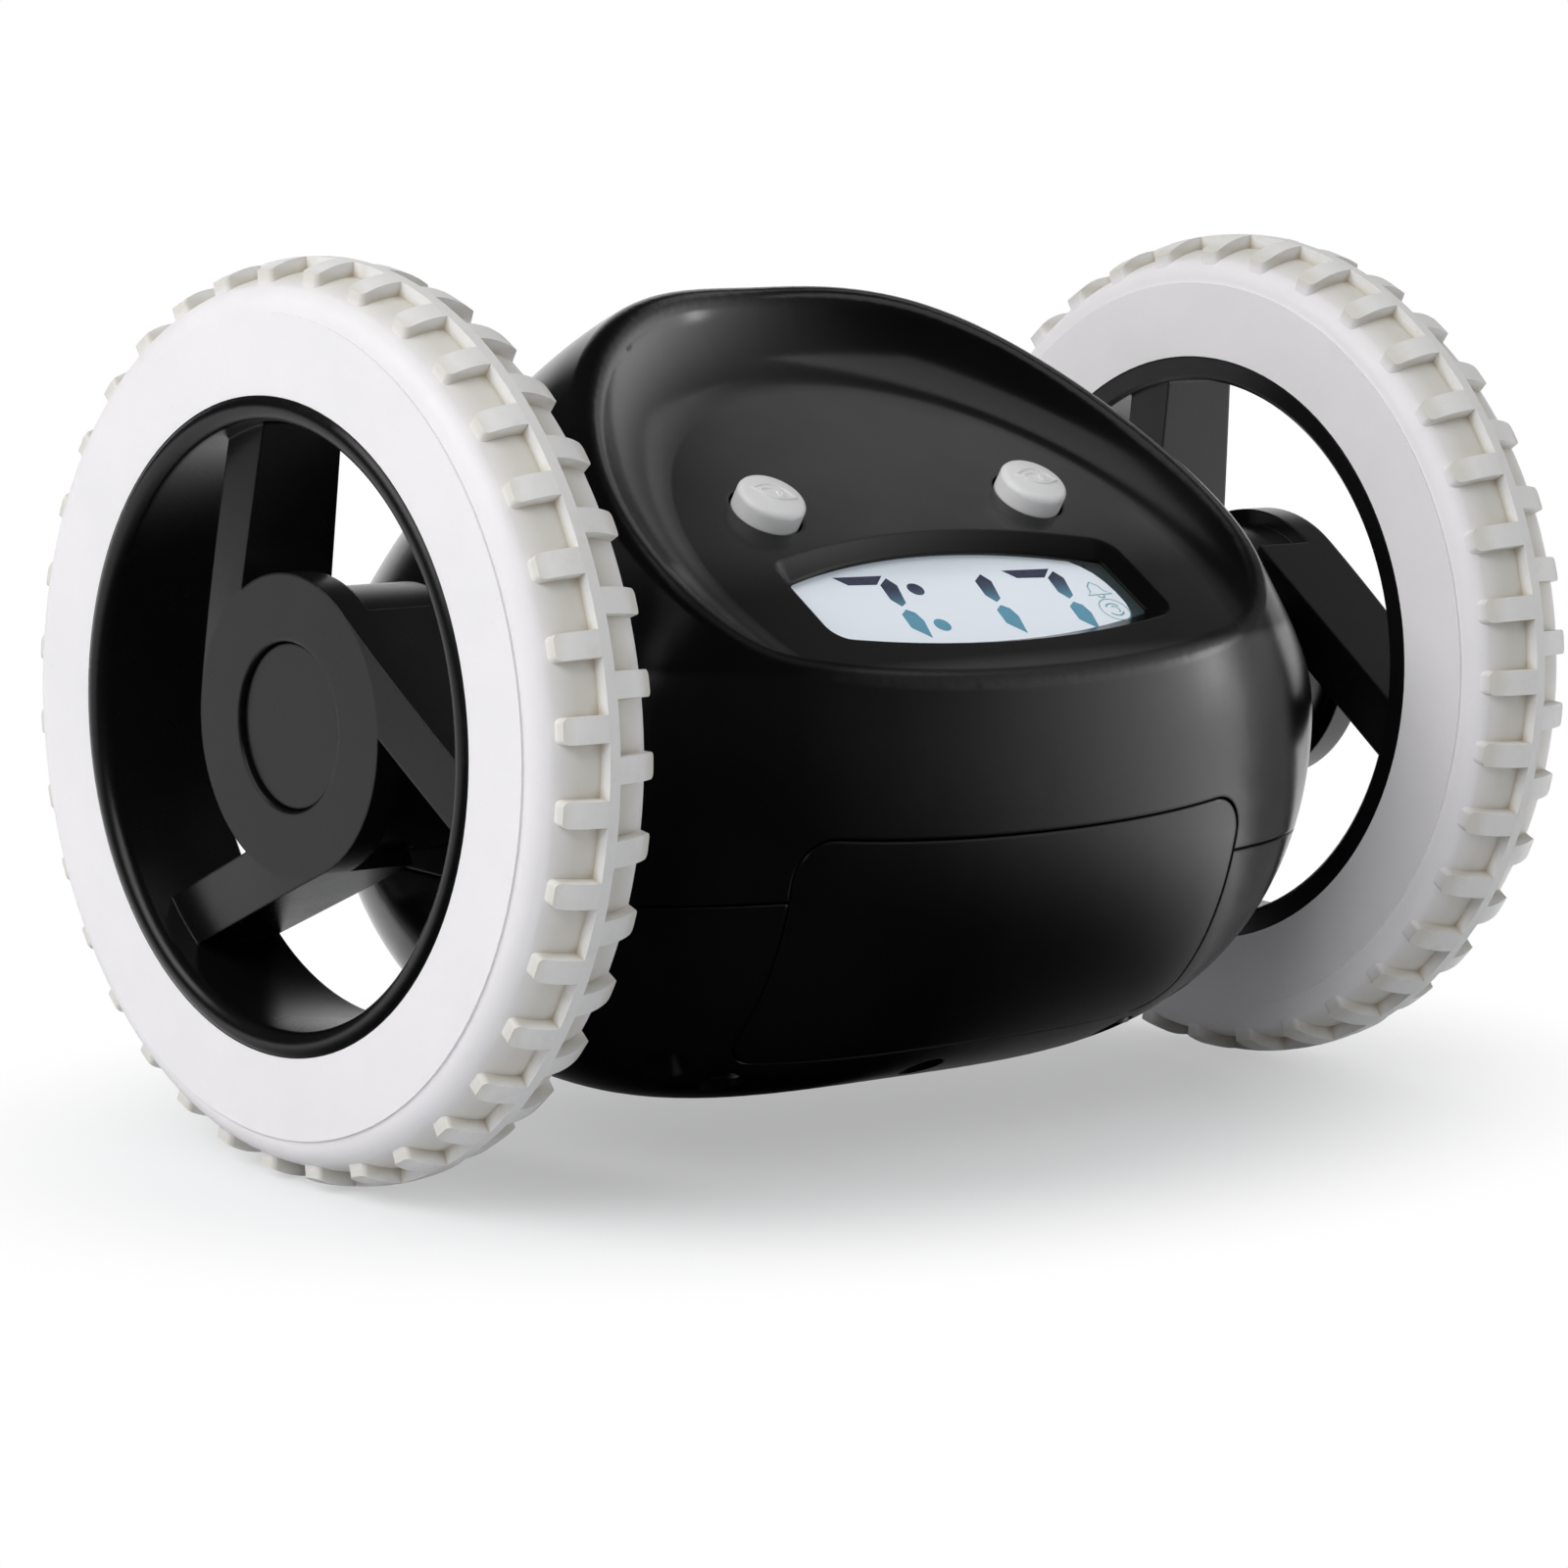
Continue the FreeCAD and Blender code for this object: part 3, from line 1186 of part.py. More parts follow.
def rear_board():
    low = REAR_BOARD_Y - BOARD_THICKNESS
    board = box(-REAR_BOARD_HALF_WIDTH, REAR_BOARD_HALF_WIDTH, low, REAR_BOARD_Y,
                REAR_BOARD_LOW_Z, REAR_BOARD_HIGH_Z)
    for x, z in rear_boss_places():
        board = board.cut(rear_rod(x, z, low - 1, REAR_BOARD_Y + 1, SCREW_RADIUS + SCREW_CLEARANCE))
    return board


def board_screws():
    """Screws of both boards, heads on the inner side."""
    screws = []
    low = BOARD_DEPTH + BOARD_THICKNESS
    for x, v in board_screw_places():
        head = face_rod(x, v, low, low + SCREW_HEAD_HEIGHT, SCREW_HEAD_RADIUS)
        shank = face_rod(x, v, BOARD_DEPTH - 4.0, low, SCREW_RADIUS)
        screws.append(fused([head, shank]))
    back = REAR_BOARD_Y - BOARD_THICKNESS
    for x, z in rear_boss_places():
        head = rear_rod(x, z, back - SCREW_HEAD_HEIGHT, back, SCREW_HEAD_RADIUS)
        shank = rear_rod(x, z, back, REAR_BOARD_Y + 3.2, SCREW_RADIUS)
        screws.append(fused([head, shank]))
    return Part.makeCompound(screws)


def make_rear_parts():
    names = ("key_hour", "key_minute", "key_alarm")
    for name, x in zip(names, KEY_X):
        save(name, setting_key(x))
    save("slide_knob", slider_knob())
    save("slide_switch", slide_switch())
    save("rear_board", rear_board())
    switches = []
    for x in KEY_X:
        switch = tact_switch()
        switch.rotate(vec(0, 0, 0), vec(1, 0, 0), -90)
        switch.translate(vec(x, REAR_BOARD_Y, KEY_Z))
        switches.append(switch)
    save("rear_switches", Part.makeCompound(switches))
    save("board_screws", board_screws())


# ================================================================ speaker
def speaker_placement():
    """Frame of the speaker: Z points out through the grille, the origin is its front."""
    tilt = math.radians(SPEAKER_TILT)
    angle = math.radians(SPEAKER_DIRECTION)
    wall = reach(0, angle, WALL)
    y = CORE_Y + wall * math.cos(angle) - SPEAKER_SET_BACK * math.cos(tilt)
    z = CORE_Z + wall * math.sin(angle) - SPEAKER_SET_BACK * math.sin(tilt)
    return FreeCAD.Placement(vec(0, y, z), FreeCAD.Rotation(vec(1, 0, 0), SPEAKER_TILT - 90))


def speaker():
    low = vec(0, 0, -SPEAKER_RIM_DEPTH)
    body = Part.makeCylinder(SPEAKER_RADIUS, SPEAKER_RIM_DEPTH, low)
    back = vec(0, 0, -SPEAKER_THICKNESS)
    magnet = Part.makeCylinder(SPEAKER_MAGNET_RADIUS, SPEAKER_THICKNESS, back)
    cone = Part.makeCylinder(SPEAKER_RADIUS - 1.2, 0.8, vec(0, 0, -0.8))
    dome = Part.makeCylinder(SPEAKER_RADIUS * 0.35, 0.5, vec(0, 0, -0.8))
    return put(body.fuse(magnet).cut(cone).fuse(dome).removeSplitter(), speaker_placement())


def speaker_collar():
    """Ring on the upper shell that the speaker sits in."""
    deep = SPEAKER_RIM_DEPTH
    ring = Part.makeCylinder(SPEAKER_RADIUS + COLLAR_WALL, deep + 8, vec(0, 0, -deep))
    pocket = Part.makeCylinder(SPEAKER_RADIUS, deep, vec(0, 0, -deep))
    throat = Part.makeCylinder(SPEAKER_RADIUS - 1.0, 9, vec(0, 0, -0.5))
    return put(ring.cut(pocket).cut(throat), speaker_placement())


def grille_holes():
    """Round holes on a triangular grid."""
    holes = []
    rows = int(GRILLE_RADIUS / GRILLE_PITCH) + 1
    for row in range(-rows, rows + 1):
        v = row * GRILLE_PITCH * math.sqrt(3) / 2
        shift = GRILLE_PITCH / 2 if row % 2 else 0.0
        for column in range(-rows - 1, rows + 2):
            u = column * GRILLE_PITCH + shift
            if math.hypot(u, v) <= GRILLE_RADIUS:
                holes.append(Part.makeCylinder(GRILLE_HOLE_RADIUS, 12, vec(u, v, -0.2)))
    return put(Part.makeCompound(holes), speaker_placement())


# ================================================================ ballast
def ballast():
    """Weight low in the rear that makes the casing hang with its face at the right slope."""
    half = BALLAST_HALF_LENGTH
    block = box(-half, half, BALLAST_FRONT_Y, HALF_LENGTH, 0, BALLAST_TOP_Z)
    return block.common(barrel(WALL)).cut(motor_form(-half, half, -BALLAST_GAP))


def ballast_ribs():
    """Ribs of the lower shell at both ends of the ballast."""
    x0 = BALLAST_HALF_LENGTH
    rib = box(x0, x0 + BALLAST_RIB, BALLAST_FRONT_Y, HALF_LENGTH, 0, PARTING_Z - 5)
    rib = rib.cut(motor_form(0, HALF_LENGTH, -BALLAST_GAP))
    return both_sides(rib)


# ================================================================ casing shells
def casing_cavity():
    """Space inside the casing, less the ledge that carries the battery door."""
    room = barrel(WALL).cut(dish_tool(WALL))
    ledge = door_prism(LEDGE_MARGIN).cut(barrel(WALL + LEDGE_THICKNESS)).cut(tray_opening())
    return room.cut(ledge)


def door_space():
    """Room of the battery door in the casing's wall."""
    return door_prism(0).cut(barrel(WALL))


def casing_wall():
    shell = casing_outside().cut(casing_cavity())
    shell = shell.cut(tray_opening())
    return shell.cut(door_space())


def seam_groove(skin_inner):
    """Narrow groove round the outside where the two shells meet."""
    big = HALF_LENGTH * 2
    slab = box(-big, big, -big, big, PARTING_Z, PARTING_Z + PARTING_GAP)
    return slab.cut(skin_inner)


def upper_space():
    big = HALF_LENGTH * 2
    return box(-big, big, -big, big, PARTING_Z, big * 2)


def lower_space():
    big = HALF_LENGTH * 2
    return box(-big, big, -big, big, -big, PARTING_Z)


def axle_bosses():
    boss = axle_rod(FRAME_END_X, HALF_LENGTH, AXLE_BOSS_RADIUS)
    return both_sides(boss)


def upper_column(side):
    """Column for a casing screw in the upper shell, with a web to the front wall."""
    x = side * COLUMN_X
    column = Part.makeCylinder(COLUMN_RADIUS, COLUMN_TOP_Z - PARTING_Z, vec(x, COLUMN_Y, PARTING_Z))
    half = WEB_THICKNESS / 2
    web = box(x - half, x + half, COLUMN_Y - 20, COLUMN_Y, PARTING_Z, COLUMN_TOP_Z)
    return [column, web]


def lower_column(side):
    x = side * COLUMN_X
    return Part.makeCylinder(COLUMN_RADIUS, PARTING_Z, vec(x, COLUMN_Y, 0))


def upper_shell(wall, trim):
    extras = axle_bosses() + face_bosses() + upper_column(1) + upper_column(-1)
    for x, z in rear_boss_places():
        extras.append(rear_rod(x, z, REAR_BOARD_Y, rear_y(x, z), REAR_BOSS_RADIUS))
    extras.append(speaker_collar())
    extras = [extra.common(trim) for extra in extras]
    body = wall.common(upper_space()).multiFuse(extras)
    tools = window_tool()
    for x in (-BUTTON_X, BUTTON_X):
        tools.append(face_rod(x, BUTTON_V, -3.0, WALL + 1.0, BUTTON_RADIUS + BUTTON_GAP))
    for x in KEY_X:
        tools.append(rear_rod(x, KEY_Z, KEY_FLANGE_Y, KEY_FLANGE_Y + 9, KEY_RADIUS + BUTTON_GAP))
    tools.append(slider_slot(BUTTON_GAP))
    tools.append(grille_holes())
    tools += both_sides(axle_rod(FRAME_END_X - 1, HALF_LENGTH + 1, BUSH_RADIUS))
    for x, v in board_screw_places():
        tools.append(face_rod(x, v, BOARD_DEPTH - 4.5, BOARD_DEPTH + 1, SCREW_RADIUS))
    for x, z in rear_boss_places():
        tools.append(rear_rod(x, z, REAR_BOARD_Y - 1, REAR_BOARD_Y + 3.6, SCREW_RADIUS))
    for side in (-1, 1):
        start = vec(side * COLUMN_X, COLUMN_Y, PARTING_Z - 1)
        tools.append(Part.makeCylinder(SCREW_RADIUS, COLUMN_TOP_Z - PARTING_Z - 1, start))
    for tool in tools:
        body = body.cut(tool)
    return body


def tongue(trim_outer, trim_inner, side):
    """Tab on the lower shell that reaches up behind the upper shell's rear wall."""
    half = TONGUE_WIDTH / 2
    x = side * TONGUE_X
    root = box(x - half, x + half, 10, 60, PARTING_Z - 4, PARTING_Z)
    tip = box(x - half, x + half, 10, 60, PARTING_Z, PARTING_Z + TONGUE_HEIGHT)
    root = root.common(barrel(WALL / 2)).cut(trim_inner)
    tip = tip.common(trim_outer).cut(trim_inner)
    return root.fuse(tip).removeSplitter()


def lower_shell(wall, trim):
    extras = [lower_column(1), lower_column(-1)] + ballast_ribs()
    for x in TRAY_SCREW_X:
        extras.append(Part.makeCylinder(COLUMN_RADIUS, TRAY_LUG_Z, vec(x, TRAY_SCREW_Y, 0)))
    extras = [extra.common(trim).common(lower_space()).cut(door_space()) for extra in extras]
    outer = barrel(WALL + 0.15)
    inner = barrel(WALL + 0.15 + TONGUE_THICKNESS)
    extras.append(tongue(outer, inner, 1))
    extras.append(tongue(outer, inner, -1))
    body = wall.common(lower_space()).multiFuse(extras)
    tools = []
    for side in (-1, 1):
        x = side * COLUMN_X
        tools.append(Part.makeCylinder(WELL_RADIUS, COLUMN_SEAT_Z, vec(x, COLUMN_Y, 0)))
        start = vec(x, COLUMN_Y, 0)
        tools.append(Part.makeCylinder(SCREW_RADIUS + SCREW_CLEARANCE, PARTING_Z + 1, start))
    for x in TRAY_SCREW_X:
        start = vec(x, TRAY_SCREW_Y, 0)
        tools.append(Part.makeCylinder(WELL_RADIUS, tray_seat_z(), start))
        length = TRAY_LUG_Z + tray_screw_bite()
        tools.append(Part.makeCylinder(SCREW_RADIUS + SCREW_CLEARANCE, length, start))
    for tool in tools:
        body = body.cut(tool)
    return body


def tray_seat_z():
    """Height of the seats for the heads of the tray screws."""
    return TRAY_LUG_Z - 1.4


def upright_screw(x, y, seat, tip):
    head = Part.makeCylinder(SCREW_HEAD_RADIUS, SCREW_HEAD_HEIGHT, vec(x, y, seat - SCREW_HEAD_HEIGHT))
    shank = Part.makeCylinder(SCREW_RADIUS, tip - seat, vec(x, y, seat))
    return head.fuse(shank).removeSplitter()


def casing_screws():
    screws = []
    for side in (-1, 1):
        screws.append(upright_screw(side * COLUMN_X, COLUMN_Y, COLUMN_SEAT_Z, COLUMN_TOP_Z - 3))
    for x in TRAY_SCREW_X:
        tip = TRAY_LUG_Z + tray_screw_bite() - 0.4
        screws.append(upright_screw(x, TRAY_SCREW_Y, tray_seat_z(), tip))
    return Part.makeCompound(screws)


def axle_bushes():
    bush = axle_rod(FRAME_END_X, HALF_LENGTH, BUSH_RADIUS)
    bush = bush.cut(axle_rod(FRAME_END_X - 1, HALF_LENGTH + 1, AXLE_RADIUS + RUNNING_FIT))
    return Part.makeCompound(both_sides(bush))


def make_casing():
    trim = barrel(WALL / 2)
    skin = barrel().cut(barrel(WALL - DOOR_SEAT_GAP))
    core = barrel(WALL + LEDGE_THICKNESS)
    wall = casing_wall()
    groove = seam_groove(barrel(PARTING_DEPTH))
    save("upper_shell", upper_shell(wall, trim).cut(groove))
    save("lower_shell", lower_shell(wall, trim))
    save("speaker", speaker())
    save("ballast", ballast())
    save("casing_screws", casing_screws())
    save("axle_bushes", axle_bushes())
    make_battery_parts(skin, core)


os.makedirs("parts", exist_ok=True)
make_casing()
make_face_parts()
make_rear_parts()
make_wheels()
make_gears()
make_motors()
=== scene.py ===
import json
import math

import bmesh
import bpy
from mathutils import Matrix, Vector


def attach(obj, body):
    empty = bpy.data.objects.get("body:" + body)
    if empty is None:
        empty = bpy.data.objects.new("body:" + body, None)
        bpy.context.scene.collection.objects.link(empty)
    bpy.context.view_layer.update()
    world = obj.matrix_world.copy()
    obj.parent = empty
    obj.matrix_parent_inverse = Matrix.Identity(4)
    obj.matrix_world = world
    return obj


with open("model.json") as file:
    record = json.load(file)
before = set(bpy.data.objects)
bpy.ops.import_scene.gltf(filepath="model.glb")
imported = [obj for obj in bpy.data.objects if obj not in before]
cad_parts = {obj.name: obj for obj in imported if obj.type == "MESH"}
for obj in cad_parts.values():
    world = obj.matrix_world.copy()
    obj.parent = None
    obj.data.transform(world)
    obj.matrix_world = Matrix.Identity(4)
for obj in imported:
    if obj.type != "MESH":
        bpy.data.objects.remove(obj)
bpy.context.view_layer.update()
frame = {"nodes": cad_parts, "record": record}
nodes = frame["nodes"]
scene = bpy.context.scene

# ---------------------------------------------------------------- measures, in metres
MM = 0.001
AXLE_Z = 44.45 * MM
FACE_TILT = math.radians(30.5)
FACE_DISTANCE = 23.1 * MM
DISH_CENTRE = -12.0 * MM
BUTTON_X = 17.3 * MM
BUTTON_V = 11.2 * MM
BUTTON_HEIGHT = 2.5 * MM
BUTTON_DOME = 14.0 * MM
DISPLAY_DEPTH = 2.09 * MM
DISPLAY_THICKNESS = 0.03 * MM
GLYPH_DEPTH = 2.06 * MM
GLYPH_THICKNESS = 0.02 * MM
TREAD_START = 41.6 * MM
TREAD_FULL = 42.7 * MM
RECESS_RADIUS = 43.35 * MM
LUG_RADIUS = 44.0 * MM

# ---------------------------------------------------------------- display, in face millimetres
FIELD_HALF = 20.9
FIELD_TOP = 1.7
FIELD_TOP_RISE = 3.4
FIELD_BOTTOM = -7.3
FIELD_BOTTOM_RISE = -2.5
FIELD_STEP = 1.0 / 12.0
FIELD_END = ((17.2, -7.85), (18.5, -7.15), (19.4, -6.0), (19.85, -4.5), (19.9, -2.6), (19.7, -0.9),
             (19.2, 0.6), (18.4, 1.8))
# segments of a slanted digit, from the outer end of its upper right bar
SEGMENTS = {
    "a": ((-6.45, 0.66), (-0.26, 0.42), (-1.77, -0.90), (-5.30, -0.67)),
    "b": ((0.0, 0.0), (0.60, -1.20), (-0.25, -4.0), (-1.10, -4.50), (-1.75, -3.30), (-1.42, -1.0)),
    "c": ((-1.0, -5.0), (-0.20, -5.6), (0.0, -6.9), (-0.80, -9.6), (-2.30, -7.8), (-2.0, -5.7)),
}
DIGITS = ((-7.34, 2.14, "abc"), (4.79, 1.71, "bc"), (14.32, 1.36, "abc"))
DOTS = ((-4.89, 0.12), (-5.57, -5.62))
DOT_RADIUS = 0.95
BELL = (17.6, -1.9)
BELL_OUTLINE = ((-1.6, -0.95), (-0.9, -0.4), (-0.7, 0.45), (0.0, 1.1), (0.7, 0.45), (0.9, -0.4),
                (1.6, -0.95))
RING = (17.7, -5.35)
RING_RADIUS = 1.72
INK_HEIGHT = 0.02
LEAF_LENGTH = 4.6
LEAF_STEPS = 16
VEIN_STEPS = 10

# ---------------------------------------------------------------- room and camera
WHITE = (1.0, 1.0, 1.0, 1.0)
BACKDROP = (0.60, 0.80, 0.0)
LIT_SIDE = (-0.6, 0.8, 0.0)
PANEL = (0.966, -0.259, 0.0)
PANEL_LEVEL = 2.4
PANEL_FOCUS = 5.5
ROOM_LEVEL = 0.42
ROOM_LEAN = 0.38
SHADOW_X = 85 * MM
SHADOW_Y = 57 * MM
SENSOR = 36.0
FRAME_PIXELS = 1600.0
FOCAL_PIXELS = 5867.46


# ---------------------------------------------------------------- node helpers
def rgb(r, g, b):
    return (r, g, b, 1.0)


class Nodes:
    """Short calls for the nodes of one tree, whose textures follow one coordinate."""

    def __init__(self, tree, coordinate):
        self.tree = tree
        self.place = self.node("ShaderNodeTexCoord").outputs[coordinate]

    def node(self, kind, **settings):
        made = self.tree.nodes.new(kind)
        for key, value in settings.items():
            setattr(made, key, value)
        return made

    def link(self, source, target):
        self.tree.links.new(source, target)

    def put(self, node, index, value):
        """A node's input takes a socket or a plain value."""
        if isinstance(value, bpy.types.NodeSocket):
            self.link(value, node.inputs[index])
        else:
            node.inputs[index].default_value = value

    def math(self, kind, *values):
        made = self.node("ShaderNodeMath", operation=kind)
        for index, value in enumerate(values):
            self.put(made, index, value)
        return made.outputs[0]

    def dot(self, a, b):
        made = self.node("ShaderNodeVectorMath", operation="DOT_PRODUCT")
        self.put(made, 0, a)
        self.put(made, 1, b)
        return made.outputs["Value"]

    def length(self, a, b):
        """Root of the sum of two squares."""
        return self.math("SQRT", self.math("ADD", self.math("MULTIPLY", a, a),
                                           self.math("MULTIPLY", b, b)))

    def span(self, value, low, high, to_low=0.0, to_high=1.0, smooth=False):
        """Value carried from one range to another, and kept inside it."""
        made = self.node("ShaderNodeMapRange")
        if smooth:
            made.interpolation_type = "SMOOTHSTEP"
        for index, number in enumerate((value, low, high, to_low, to_high)):
            self.put(made, index, number)
        return made.outputs[0]

    def axis(self, index):
        made = self.node("ShaderNodeSeparateXYZ")
        self.link(self.place, made.inputs[0])
        return made.outputs[index]

    def panel(self, cosine):
        """Brightness of the tall panel that glossy surfaces mirror, by the angle from its middle."""
        return self.math("POWER", self.math("MAXIMUM", cosine, 0.0), PANEL_FOCUS)

    def glow(self, kind, colour, strength=1.0):
        """Emission or background shader."""
        made = self.node(kind)
        made.inputs["Color"].default_value = colour
        self.put(made, "Strength", strength)
        return made.outputs[0]

    def shader_mix(self, share, a, b):
        made = self.node("ShaderNodeMixShader")
        for index, source in enumerate((share, a, b)):
            self.link(source, made.inputs[index])
        return made.outputs[0]


class Shader(Nodes):
    """A material with a Principled shader."""

    def __init__(self, name):
        self.material = bpy.data.materials.new(name)
        self.material.use_nodes = True
        super().__init__(self.material.node_tree, "Object")
        self.bsdf = self.tree.nodes["Principled BSDF"]

    def set(self, name, value):
        self.put(self.bsdf, name, value)

    def noise(self, size, detail=2.0, roughness=0.5):
        """Noise whose features are about size metres wide."""
        made = self.node("ShaderNodeTexNoise")
        self.link(self.place, made.inputs["Vector"])
        made.inputs["Scale"].default_value = 1.0 / size
        made.inputs["Detail"].default_value = detail
        made.inputs["Roughness"].default_value = roughness
        return made.outputs["Fac"]

    def mix(self, share, a, b):
        made = self.node("ShaderNodeMix", data_type="RGBA")
        self.put(made, 0, share)
        self.put(made, 6, a)
        self.put(made, 7, b)
        return made.outputs[2]

    def mottled(self, a, b, size, detail=2.0, roughness=0.5):
        """Two tones in soft patches about size metres wide."""
        return self.mix(self.span(self.noise(size, detail, roughness), 0.35, 0.65), a, b)

    def gloss(self, low, high, size, detail=2.0, roughness=0.5):
        """Roughness that wanders between two values."""
        self.set("Roughness", self.span(self.noise(size, detail, roughness), 0.3, 0.7, low, high))

    def bump(self, height, distance, ground=None):
        made = self.node("ShaderNodeBump")
        made.inputs["Distance"].default_value = distance
        self.link(height, made.inputs["Height"])
        if ground:
            self.link(ground, made.inputs["Normal"])
        self.link(made.outputs[0], self.bsdf.inputs["Normal"])

    def rounded(self, radius):
        """Normal that rolls over sharp edges, as a moulding's small radii do."""
        made = self.node("ShaderNodeBevel", samples=4)
        made.inputs["Radius"].default_value = radius
        return made.outputs[0]

    def edge(self, soft):
        """Share of wear: 1 where a rolled-over normal leaves the surface's own, 0 elsewhere."""
        own = self.node("ShaderNodeNewGeometry").outputs["Normal"]
        return self.span(self.dot(soft, own), 0.98, 0.80)


# ---------------------------------------------------------------- materials
def moulded(name, tone, other, roughness, grain_size, grain_height):
    """Moulded plastic: two close tones, uneven gloss and fine grain, in millimetres."""
    s = Shader(name)
    s.set("Base Color", s.mottled(rgb(*tone), rgb(*other), 14 * MM, 3.0))
    s.gloss(roughness * 0.85, roughness * 1.18, 3 * MM, 5.0, 0.6)
    s.bump(s.noise(grain_size * MM), grain_height * MM)
    return s.material


def metal(name, r, g, b, roughness):
    """Bare metal with fine grain."""
    s = Shader(name)
    grain = s.noise(0.5 * MM, 4.0, 0.6)
    s.set("Base Color", s.mix(s.span(s.noise(6 * MM, 4.0), 0.3, 0.7), rgb(r, g, b),
                              rgb(r * 0.82, g * 0.82, b * 0.82)))
    s.set("Metallic", 1.0)
    s.set("Roughness", s.span(grain, 0.3, 0.7, roughness * 0.75, roughness * 1.3))
    s.bump(grain, 0.012 * MM)
    return s.material


def hub_material():
    """Black wheel plastic, satin, with rolled edges and faint handling marks along them."""
    s = Shader("hub")
    soft = s.rounded(0.35 * MM)
    tone = s.mottled(rgb(0.0035, 0.0035, 0.0038), rgb(0.0045, 0.0045, 0.0047), 18 * MM)
    share = s.math("MULTIPLY", s.edge(soft), s.span(s.noise(1.1 * MM, 4.0), 0.4, 0.6))
    s.set("Base Color", s.mix(s.math("MULTIPLY", share, 0.3), tone, rgb(0.03, 0.03, 0.032)))
    s.gloss(0.235, 0.285, 5 * MM, 4.0, 0.6)
    s.set("Specular IOR Level", 0.3)
    s.bump(s.noise(0.35 * MM), 0.003 * MM, ground=soft)
    return s.material


def casing_material():
    """Black moulded plastic: glossy all round, satin on the front and the dish, and with painted shade in a
    band round the display, where its reflection is turned down."""
    s = Shader("casing")
    s.set("Base Color", s.mottled(rgb(0.0028, 0.0028, 0.003), rgb(0.0042, 0.0041, 0.0043), 16 * MM, 3.0))
    front = s.span(s.axis(1), -2 * MM, -20 * MM, smooth=True)
    uneven = s.span(s.noise(9 * MM, 5.0, 0.6), 0.35, 0.65, -0.015, 0.025)
    satin = s.math("ADD", s.math("MULTIPLY", front, 0.07), 0.15)
    s.set("Roughness", s.math("ADD", satin, uneven))
    # painted shade: the reflection is turned down in a band round the display, so the face there renders
    # dark
    band = s.math("MULTIPLY", s.span(s.axis(2), 63 * MM, 57 * MM, smooth=True),
                  s.span(s.axis(2), 50.5 * MM, 51.8 * MM, smooth=True))
    s.set("Specular IOR Level", s.span(s.math("MULTIPLY", front, band), 0.0, 1.0, 0.45, 0.08))
    grain = s.math("MULTIPLY", s.noise(0.22 * MM, 1.0), s.span(front, 0.0, 1.0, 0.25, 1.0))
    s.bump(grain, 0.004 * MM, ground=s.rounded(0.4 * MM))
    return s.material


def tyre_material():
    """White rubbery plastic with faint scuffs; painted shade darkens the tread, most of all in its creamy
    recesses between the bars and in the creases beside them.
    """
    s = Shader("tyre")
    radius = s.length(s.axis(1), s.math("SUBTRACT", s.axis(2), AXLE_Z))
    side = s.mottled(rgb(0.85, 0.825, 0.835), rgb(0.82, 0.80, 0.805), 12 * MM, 4.0, 0.6)
    wavy = s.math("ADD", radius, s.math("MULTIPLY", s.noise(1.4 * MM, 3.0), 0.5 * MM))
    # painted shade on a creamy tone: the tread is darker than the side face, and darker still in the
    # recesses between the bars
    tread = s.mix(s.span(wavy, RECESS_RADIUS, LUG_RADIUS), rgb(0.69, 0.67, 0.615),
                  rgb(0.80, 0.79, 0.775))
    stain = s.math("MULTIPLY", s.span(s.noise(2.2 * MM, 5.0, 0.65), 0.52, 0.74), 0.3)
    tread = s.mix(stain, tread, rgb(0.66, 0.61, 0.53))
    # painted shade: the creases beside the tread bars turn brown where occlusion finds them
    crease_occlusion = s.node("ShaderNodeAmbientOcclusion", samples=4, only_local=True)
    crease_occlusion.inputs["Distance"].default_value = 1.2 * MM
    painted_crease_shade = s.span(crease_occlusion.outputs["AO"], 0.75, 0.35, 0.0, 0.75)
    tread = s.mix(painted_crease_shade, tread, rgb(0.50, 0.42, 0.31))
    tone = s.mix(s.span(radius, TREAD_START, TREAD_FULL), side, tread)
    specks = s.span(s.noise(0.5 * MM, 3.0, 0.7), 0.70, 0.76)
    s.set("Base Color", s.mix(s.math("MULTIPLY", specks, 0.25), tone, rgb(0.42, 0.36, 0.29)))
    s.gloss(0.42, 0.56, 4 * MM, 5.0, 0.6)
    s.set("Specular IOR Level", 0.4)
    s.bump(s.noise(0.45 * MM, 4.0, 0.65), 0.012 * MM)
    return s.material


def display_material():
    """Pale field of the display, glowing by emission as painted light, with painted shade making it
    slightly darker towards its top.
    """
    s = Shader("display")
    # painted shade: the field's colour and its glow both darken towards the top of the display
    low = s.span(s.axis(2), 59.5 * MM, 56.5 * MM, smooth=True)
    tone = s.mix(low, rgb(0.46, 0.50, 0.54), rgb(0.60, 0.64, 0.68))
    s.set("Base Color", s.mix(s.span(s.noise(9 * MM), 0.3, 0.7, 0.0, 0.25), tone, rgb(0.60, 0.66, 0.72)))
    # painted light: the field glows by emission, though the display is no lamp
    s.set("Emission Color", s.mix(low, rgb(0.28, 0.32, 0.36), rgb(0.50, 0.53, 0.58)))
    s.set("Emission Strength", 0.55)
    s.gloss(0.5, 0.62, 1.5 * MM)
    s.bump(s.noise(0.08 * MM), 0.002 * MM)
    return s.material


